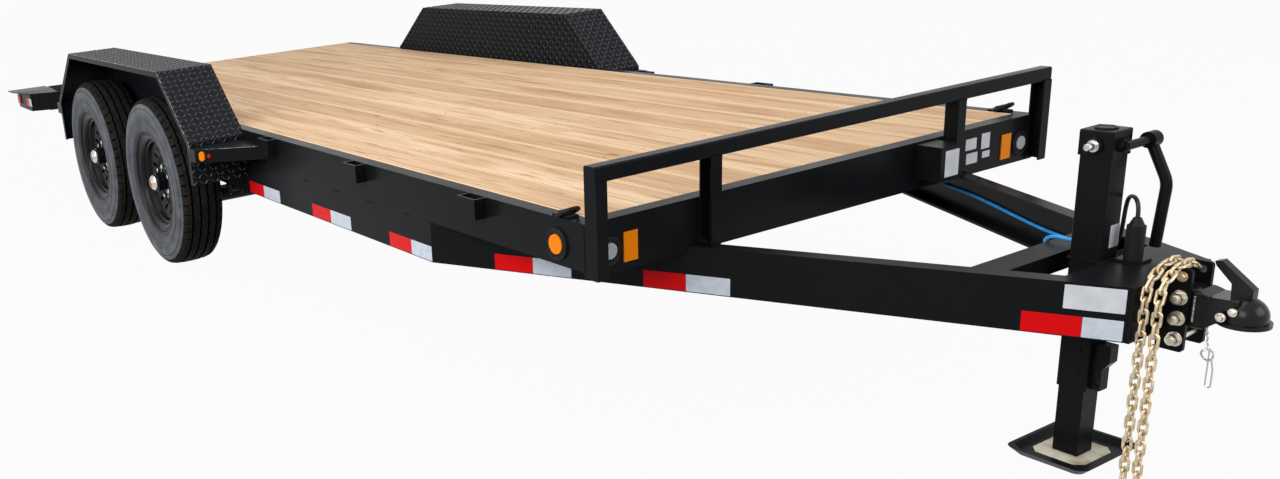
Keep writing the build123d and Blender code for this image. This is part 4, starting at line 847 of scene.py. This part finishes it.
tape_wide, tape_thick = 0.0508, 0.0006
tape_level = -0.245
bend_x = -0.782
slant = Vector((1.740, 0.815, 0.0)).normalized()
rail_strips = ((-2.244, -2.100, -1.943), (-1.647, -1.495, -1.336), (-1.055, -0.911, -0.784))
beam_strips = ((0.234, 0.368, 0.498), (0.729, 0.857, 0.985), (1.704, 1.833, 1.917))
reds = bmesh.new()
whites = bmesh.new()
for way in (-1.0, 1.0):
    for wall, strips in ((on_rail, rail_strips), (on_beam, beam_strips)):
        for start, seam, end in strips:
            for form, low, high in ((reds, start, seam), (whites, seam + 0.0004, end)):
                plate(form, high - low, tape_wide, tape_thick, wall((low + high) / 2, way, tape_level))
    for form, x, y, z, wide in (
        (reds, -5.300, 1.160, -0.137, 0.064), (whites, -5.235, 1.160, -0.137, 0.064),
        (reds, -5.055, half_y, -0.118, 0.088), (whites, -4.965, half_y, -0.118, 0.088),
    ):
        plate(form, wide, 0.050, tape_thick, on_rail(x, way, z, y))
piece("tape_red", reds, tape_red)
piece("tape_white", whites, tape_white)

# ------ blank plates
# Plain vinyl plates with nothing printed on them, where a trailer carries
# its plates: on the tongue, the box, the header and the jack.
vinyl = new_finish("vinyl", (0.66, 0.67, 0.70), 0.38, 0.2)
mottle(vinyl, 25.0, (0.60, 0.61, 0.64), (0.72, 0.73, 0.76), detail=6.0)
vinyl_thick = 0.0004
plates = bmesh.new()
for way in (-1.0, 1.0):
    plate(plates, 0.127, 0.060, vinyl_thick, on_beam((1.790 + 1.917) / 2, way, -0.1725))
for x, y, z, wide, tall in (
    (0.092, 0.412, -0.062, 0.066, 0.084), (0.0, 0.640, -0.052, 0.056, 0.038),
    (0.0, 0.648, -0.100, 0.058, 0.036), (0.0, 0.716, -0.052, 0.044, 0.052),
    (0.0, 0.722, -0.098, 0.040, 0.022), (0.814, 0.016, -0.076, 0.040, 0.058),
):
    plate(plates, wide, tall, vinyl_thick, upright(spot(x, y, z), (0.0, 1.0, 0.0), (1.0, 0.0, 0.0)))
piece("blank_plates", plates, vinyl)

# ------ coupler
# A pressed steel head on a channel, bolted between two drilled ears with
# zinc-plated bolts, flat washers and domed nuts.
coupler_black = new_finish("coupler_black", (0.0060, 0.0064, 0.0072), 0.22, 0.22)
roughen(coupler_black, 90.0, 0.08, 0.0008, 3.0)
dress(coupler_black, "coupler", "coupler_latch")
bolt_zinc = new_finish("bolt_zinc", (0.58, 0.55, 0.48), 0.30, metallic=1.0)
mottle(bolt_zinc, 120.0, (0.50, 0.46, 0.37), (0.80, 0.77, 0.70))
dress(bolt_zinc, "coupler_bolts")
gold_zinc = new_finish("gold_zinc", (0.50, 0.39, 0.22), 0.42, metallic=0.85)
mottle(gold_zinc, 70.0, (0.42, 0.33, 0.20), (0.80, 0.66, 0.45), detail=5.0)
roughen(gold_zinc, 260.0, 0.2, 0.0006)

# Each link of the two chains is bent again from round wire, with a little
# twist, in the place of the link that stands for it. The dips of the links
# that lie over the ear are in degrees, from the lowest link up.
link_wire = 0.0035
link_straight = 0.0095
link_bend = 0.0090
link_twist = 0.10
link_reach = link_straight + link_bend
link_hook = 0.0100
flat_to_x = 0.012
one_link = 0.060
over_the_ear = (90.0, 78.0, 56.0, 34.0, 18.0, 6.0, -8.0, -32.0)


def bend_link(form, centre, run, on_edge):
    """One link along a run, standing on edge or lying flat."""
    wide = Vector((1.0, 0.0, 0.0))
    if on_edge:
        wide = run.cross(wide)
    thick = run.cross(wide).normalized()
    loop = []
    for i in range(36):
        angle = 2 * pi * i / 36
        along = link_straight * (1 if sin(angle) > 0 else -1) + link_bend * sin(angle)
        if abs(sin(angle)) < 1e-6:
            along = 0.0
        turn = link_twist * along / link_reach
        across = link_bend * cos(angle)
        loop.append(centre + run * along + wide * across * cos(turn) + thick * across * sin(turn))
    tube(form, loop, link_wire, 10, closed=True)


links = bmesh.new()
source = bmesh.new()
source.from_mesh(nodes["safety_chains"].data)
bmesh.ops.remove_doubles(source, verts=source.verts, dist=1e-5)
source.verts.index_update()
rebuilt = set()
for first in source.verts:
    if first in rebuilt:
        continue
    island = {first}
    edge_of = {first}
    while edge_of:
        found = {other for vert in edge_of for edge in vert.link_edges for other in edge.verts}
        edge_of = found - island
        island |= found
    rebuilt |= island
    spots = [vert.co.copy() for vert in sorted(island, key=lambda vert: vert.index)]
    low = Vector([min(point[axis] for point in spots) for axis in range(3)])
    high = Vector([max(point[axis] for point in spots) for axis in range(3)])
    centre = (low + high) / 2
    if high.z - low.z < one_link:
        # The long axis is the sum of all corners, turned to one end of the link.
        corner = max(spots, key=lambda point: (point - centre).length) - centre
        run = Vector((0.0, 0.0, 0.0))
        for point in spots:
            reach = point - centre
            run += reach if reach.dot(corner) > 0 else -reach
        run.x = 0.0
        bend_link(links, centre, run.normalized(), high.x - low.x < flat_to_x)
        continue
    # The links over the ear are one solid. Each is hooked into the one below,
    # up from the lower end of that solid, which is a link on its edge.
    centre.y = low.y + link_bend + link_wire
    centre.z = low.z + link_reach + link_wire
    below = None
    for number, bend in enumerate(over_the_ear):
        run = Vector((0.0, -cos(radians(bend)), -sin(radians(bend))))
        if below is not None:
            centre += (run + below).normalized() * link_hook - (run + below) * link_reach
        bend_link(links, centre, run, number % 2 == 0)
        below = run
source.free()
chains = piece("chain_links", links, gold_zinc)
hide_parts("safety_chains")

bolt_x = header_x + 1.010
to_right = (0.0, -1.0, 0.0)
washer = [(0.0180, 0.0), (0.0180, 0.0030), (0.0172, 0.0036), (0.0, 0.0036)]
bolt_end = [
    (0.0125, 0.0), (0.0125, 0.0012), (0.0088, 0.0016), (0.0088, 0.0060), (0.0078, 0.0072), (0.0, 0.0076),
]
fixings = bmesh.new()
for z in (0.501, 0.450, 0.399):
    for way in (-1.0, 1.0):
        lathe(fixings, washer, facing((bolt_x, way * 0.0488, z), (0.0, way, 0.0)), 32)
    lathe(fixings, bolt_end, facing((bolt_x, -0.0675, z), to_right), 28)
for x, y, z, radius in ((1.100, -0.0500, 0.4755, 0.0080), (1.1225, -0.0495, 0.4925, 0.0072)):
    seat = (header_x + x, y, z)
    flange = radius * 1.35
    lathe(fixings, [(flange, -0.002), (flange, 0.0022), (0.0, 0.0022)], facing(seat, to_right), 24)
    head = [(radius, 0.002), (radius, 0.0075), (radius * 0.84, 0.0092), (0.0, 0.0094)]
    lathe(fixings, head, facing(seat, to_right, 0.3), 6)
piece("coupler_fixings", fixings, bolt_zinc)

gold_fixings = bmesh.new()
seat = (bolt_x, -0.0488, 0.5525)
lathe(gold_fixings, [(0.0125, 0.0), (0.0125, 0.0022), (0.0, 0.0022)], facing(seat, to_right), 28)
head = [(0.0096, 0.0020), (0.0096, 0.0085), (0.0080, 0.0105), (0.0, 0.0108)]
lathe(gold_fixings, head, facing(seat, to_right, 0.2), 6)
tube(gold_fixings, [(header_x + 0.984, y, 0.5200) for y in (0.0500, 0.0620)], 0.0065, 14)
piece("gold_fixings", gold_fixings, gold_zinc)

# ------ wire pin
# A pin bent from bright zinc-plated wire. It hangs below the coupler from a
# ring, on a length of twisted wire.
wire_zinc = new_finish("wire_zinc", (0.46, 0.47, 0.49), 0.30, metallic=1.0)
roughen(wire_zinc, 300.0, 0.08, 0.0004)
pin = bmesh.new()
pin_top = spot(1.062, -0.022, -0.236)
fall = Vector((0.020, 0.0, -0.154))
for phase in (0.0, pi):
    strand = []
    for i in range(25):
        share = i / 24
        angle = phase + share * 4 * pi
        strand.append(pin_top + fall * 0.38 * share + Vector((cos(angle), sin(angle), 0.0)) * 0.0022)
    tube(pin, strand, 0.0016, 8)
pin_middle = pin_top + fall * 0.46
ring = []
for i in range(28):
    angle = 2 * pi * i / 28
    ring.append(pin_middle + Vector((0.013 * cos(angle), 0.003 * sin(2 * angle), 0.013 * sin(angle))))
tube(pin, ring, 0.0023, 8, closed=True)
hair = [(0.0020, 0.016), (0.0020, -0.030)]
hair += [(0.0080 - 0.0060 * cos(pi * i / 8), -0.074 - 0.0060 * sin(pi * i / 8)) for i in range(9)]
hair += [(0.0140, -0.034), (0.0085, -0.010)]
tube(pin, [pin_middle + Vector((x, 0.004, z)) for x, z in hair], 0.0018, 8)
piece("wire_pin", pin, wire_zinc)

# ------ jack
# A welded square jack: a turned shaft end with washers on one side, a raised
# ring on its cap, bolt heads on its faces and a bare plate in the foot.
jack_x = 0.776
shaft_bright = new_finish("shaft_bright", (0.48, 0.48, 0.49), 0.22, metallic=1.0)
roughen(shaft_bright, 240.0, 0.05, 0.0004)
shaft_place = facing(spot(jack_x, -0.0415, 0.154), to_right)
shaft_profile = [
    (0.0150, 0.008), (0.0150, 0.0105), (0.0112, 0.0108), (0.0112, 0.0135), (0.0092, 0.0140),
    (0.0092, 0.0330), (0.0078, 0.0360), (0.0, 0.0368),
]
shaft = bmesh.new()
lathe(shaft, shaft_profile, shaft_place, 32)
piece("jack_shaft", shaft, shaft_bright)

boss = [(0.0205, 0.0), (0.0205, 0.0065), (0.0190, 0.0085), (0.0150, 0.0088), (0.0, 0.0088)]
cap_ring = [
    (0.0260, 0.0), (0.0256, 0.0030), (0.0230, 0.0044), (0.0200, 0.0036), (0.0185, 0.0012), (0.0, 0.0012),
]
front_head = [(0.0060, -0.001), (0.0060, 0.0020), (0.0045, 0.0030), (0.0, 0.0032)]
side_head = [(0.0055, -0.001), (0.0055, 0.0022), (0.0040, 0.0034), (0.0, 0.0036)]
cap_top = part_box("jack_head")[1].z - 0.0030
jack_fit = bmesh.new()
lathe(jack_fit, boss, shaft_place, 36)
lathe(jack_fit, cap_ring, facing((header_x + jack_x, 0.0, cap_top), (0.0, 0.0, 1.0)), 40)
for z in (0.142, 0.148):
    lathe(jack_fit, front_head, facing(spot(0.8175, 0.028, z), (1.0, 0.0, 0.0)), 14)
for height in (0.245, 0.300):
    lathe(jack_fit, side_head, facing((header_x + 0.790, -0.0378, height), to_right), 14)
piece("jack_details", jack_fit, frame_black)

foot_bare = new_finish("foot_bare", (0.50, 0.45, 0.34), 0.7)
mottle(foot_bare, 26.0, (0.34, 0.28, 0.19), (0.60, 0.55, 0.44), 0.34, 0.56, 8.0)
roughen(foot_bare, 120.0, 0.2, 0.0008)
outline = (
    (0.070, 0.056), (0.050, 0.078), (-0.050, 0.078), (-0.070, 0.056),
    (-0.070, -0.056), (-0.050, -0.078), (0.050, -0.078), (0.070, -0.056),
)
foot_plate = bmesh.new()
levels = []
for inset, level in ((1.0, 0.0070), (1.0, 0.0091), (0.985, 0.0097)):
    corners = [(header_x + jack_x + x * inset, y * inset, level) for x, y in outline]
    levels.append([foot_plate.verts.new(corner) for corner in corners])
skin_between(foot_plate, levels)
piece("foot_plate", foot_plate, foot_bare, "jack_stand")

# ------ box fittings
# Two pan-head screws and a hasp of bent plate hold the lid of the equipment
# box, and are painted with it.
box_side = 0.3580
pan_head = [(0.0060, -0.0005), (0.0060, 0.0018), (0.0042, 0.0034), (0.0, 0.0038)]
hasp = bmesh.new()
for z in (-0.030, -0.095):
    lathe(hasp, pan_head, facing(spot(0.030, box_side, z), to_right), 16)
hasp_place = upright(spot(0.020, box_side, -0.062), (1.0, 0.0, 0.0), to_right)
plate(hasp, 0.024, 0.050, 0.0030, hasp_place, 0.004, 0.0006)
piece("box_fittings", hasp, frame_black)


# ------ welds
# Short overlapping beads of weld metal run wherever two pieces of the frame
# meet. All are painted over but the one on the coupler's channel.
def bead_tree():
    """Lays one bead of weld metal after another along the edges of a mesh."""
    tree, given = new_group("weld_beads", {"Spacing": "Float", "Bead": "Float"})
    curve = new_node(tree, "GeometryNodeMeshToCurve", {"Mesh": given["Geometry"]}).outputs["Curve"]
    fill = {"Curve": curve, "Length": given["Spacing"]}
    points = new_node(tree, "GeometryNodeCurveToPoints", fill, mode="LENGTH").outputs
    fill = {"Subdivisions": 2, "Radius": given["Bead"]}
    ball = new_node(tree, "GeometryNodeMeshIcoSphere", fill).outputs["Mesh"]
    fill = {"Geometry": ball, "Scale": (1.0, 0.85, 0.62)}
    flat = new_node(tree, "GeometryNodeTransform", fill).outputs["Geometry"]
    return set_items(tree, given, points["Points"], points["Rotation"], flat, 0.14)


def seams(runs):
    """A mesh of loose edges from runs given ahead of the header and above the deck."""
    form = bmesh.new()
    for run in runs:
        form.edges.new([form.verts.new(spot(*end)) for end in run])
    return mesh_of("seams", form)


beads = bead_tree()
runs = []
for y in (-0.570, -0.530, 0.492, 0.532, -0.939, 0.939):
    runs.append(((0.0015, y, -0.148), (0.0015, y, -0.002)))
for low_y, high_y in ((-0.569, -0.531), (0.493, 0.531), (-0.978, -0.942), (0.942, 0.978)):
    runs.append(((0.0455, low_y, 0.1150), (0.0455, high_y, 0.1150)))
jack_back, jack_front = 0.7375, 0.8145
for way in (-1.0, 1.0):
    runs.append(((-0.006, way * 0.9775, -0.132), (-0.006, way * 0.9775, -0.003)))
    for step in range(3):
        for reach in (-0.047, 0.047):
            x = -0.499 - 0.730 * step + reach
            runs.append(((x, way * 0.9785, -0.061), (x, way * 0.9785, -0.002)))
    for step in range(15):
        x = -0.95 - 0.25 * step
        runs.append(((x, way * 0.9765, -0.1365), (x + 0.045, way * 0.9765, -0.1365)))
    runs.append(((0.958, way * 0.1625, -0.268), (0.958, way * 0.1625, -0.140)))
    runs.append(((-2.014, way * 0.9790, -0.093), (-2.014, way * 0.9790, -0.042)))
    for y in (way * 0.0385, way * 0.0495):
        runs.append(((0.969, y, -0.268), (0.969, y, -0.140)))
    for x in (-0.146, -0.074):
        runs.append(((x, way * 0.942, 0.001), (x, way * 0.966, 0.001)))
    runs.append(((jack_back, way * 0.0385, -0.1355), (jack_front, way * 0.0385, -0.1355)))
    jack_face = jack_back if way < 0 else jack_front
    runs.append(((jack_face, -0.0385, -0.1355), (jack_face, 0.0385, -0.1355)))
bare_weld = new_finish("bare_weld", (0.32, 0.30, 0.29), 0.38, metallic=0.9)
mottle(bare_weld, 200.0, (0.10, 0.09, 0.09), (0.50, 0.48, 0.47))
bare_runs = [((1.0365, -0.0378, -0.228), (1.0365, -0.0378, -0.168))]
for name, seam_runs, finish, slot in (
    ("frame_welds", runs, frame_black, "frame_paint"),
    ("coupler_weld", bare_runs, bare_weld, "zinc_bolts"),
):
    bead_values = {"Spacing": 0.0034, "Bead": 0.0034, "Seed": 5, "Finish": finish}
    piece(name, repeat(beads, bead_values, seams(seam_runs)), finish, smooth=60.0)
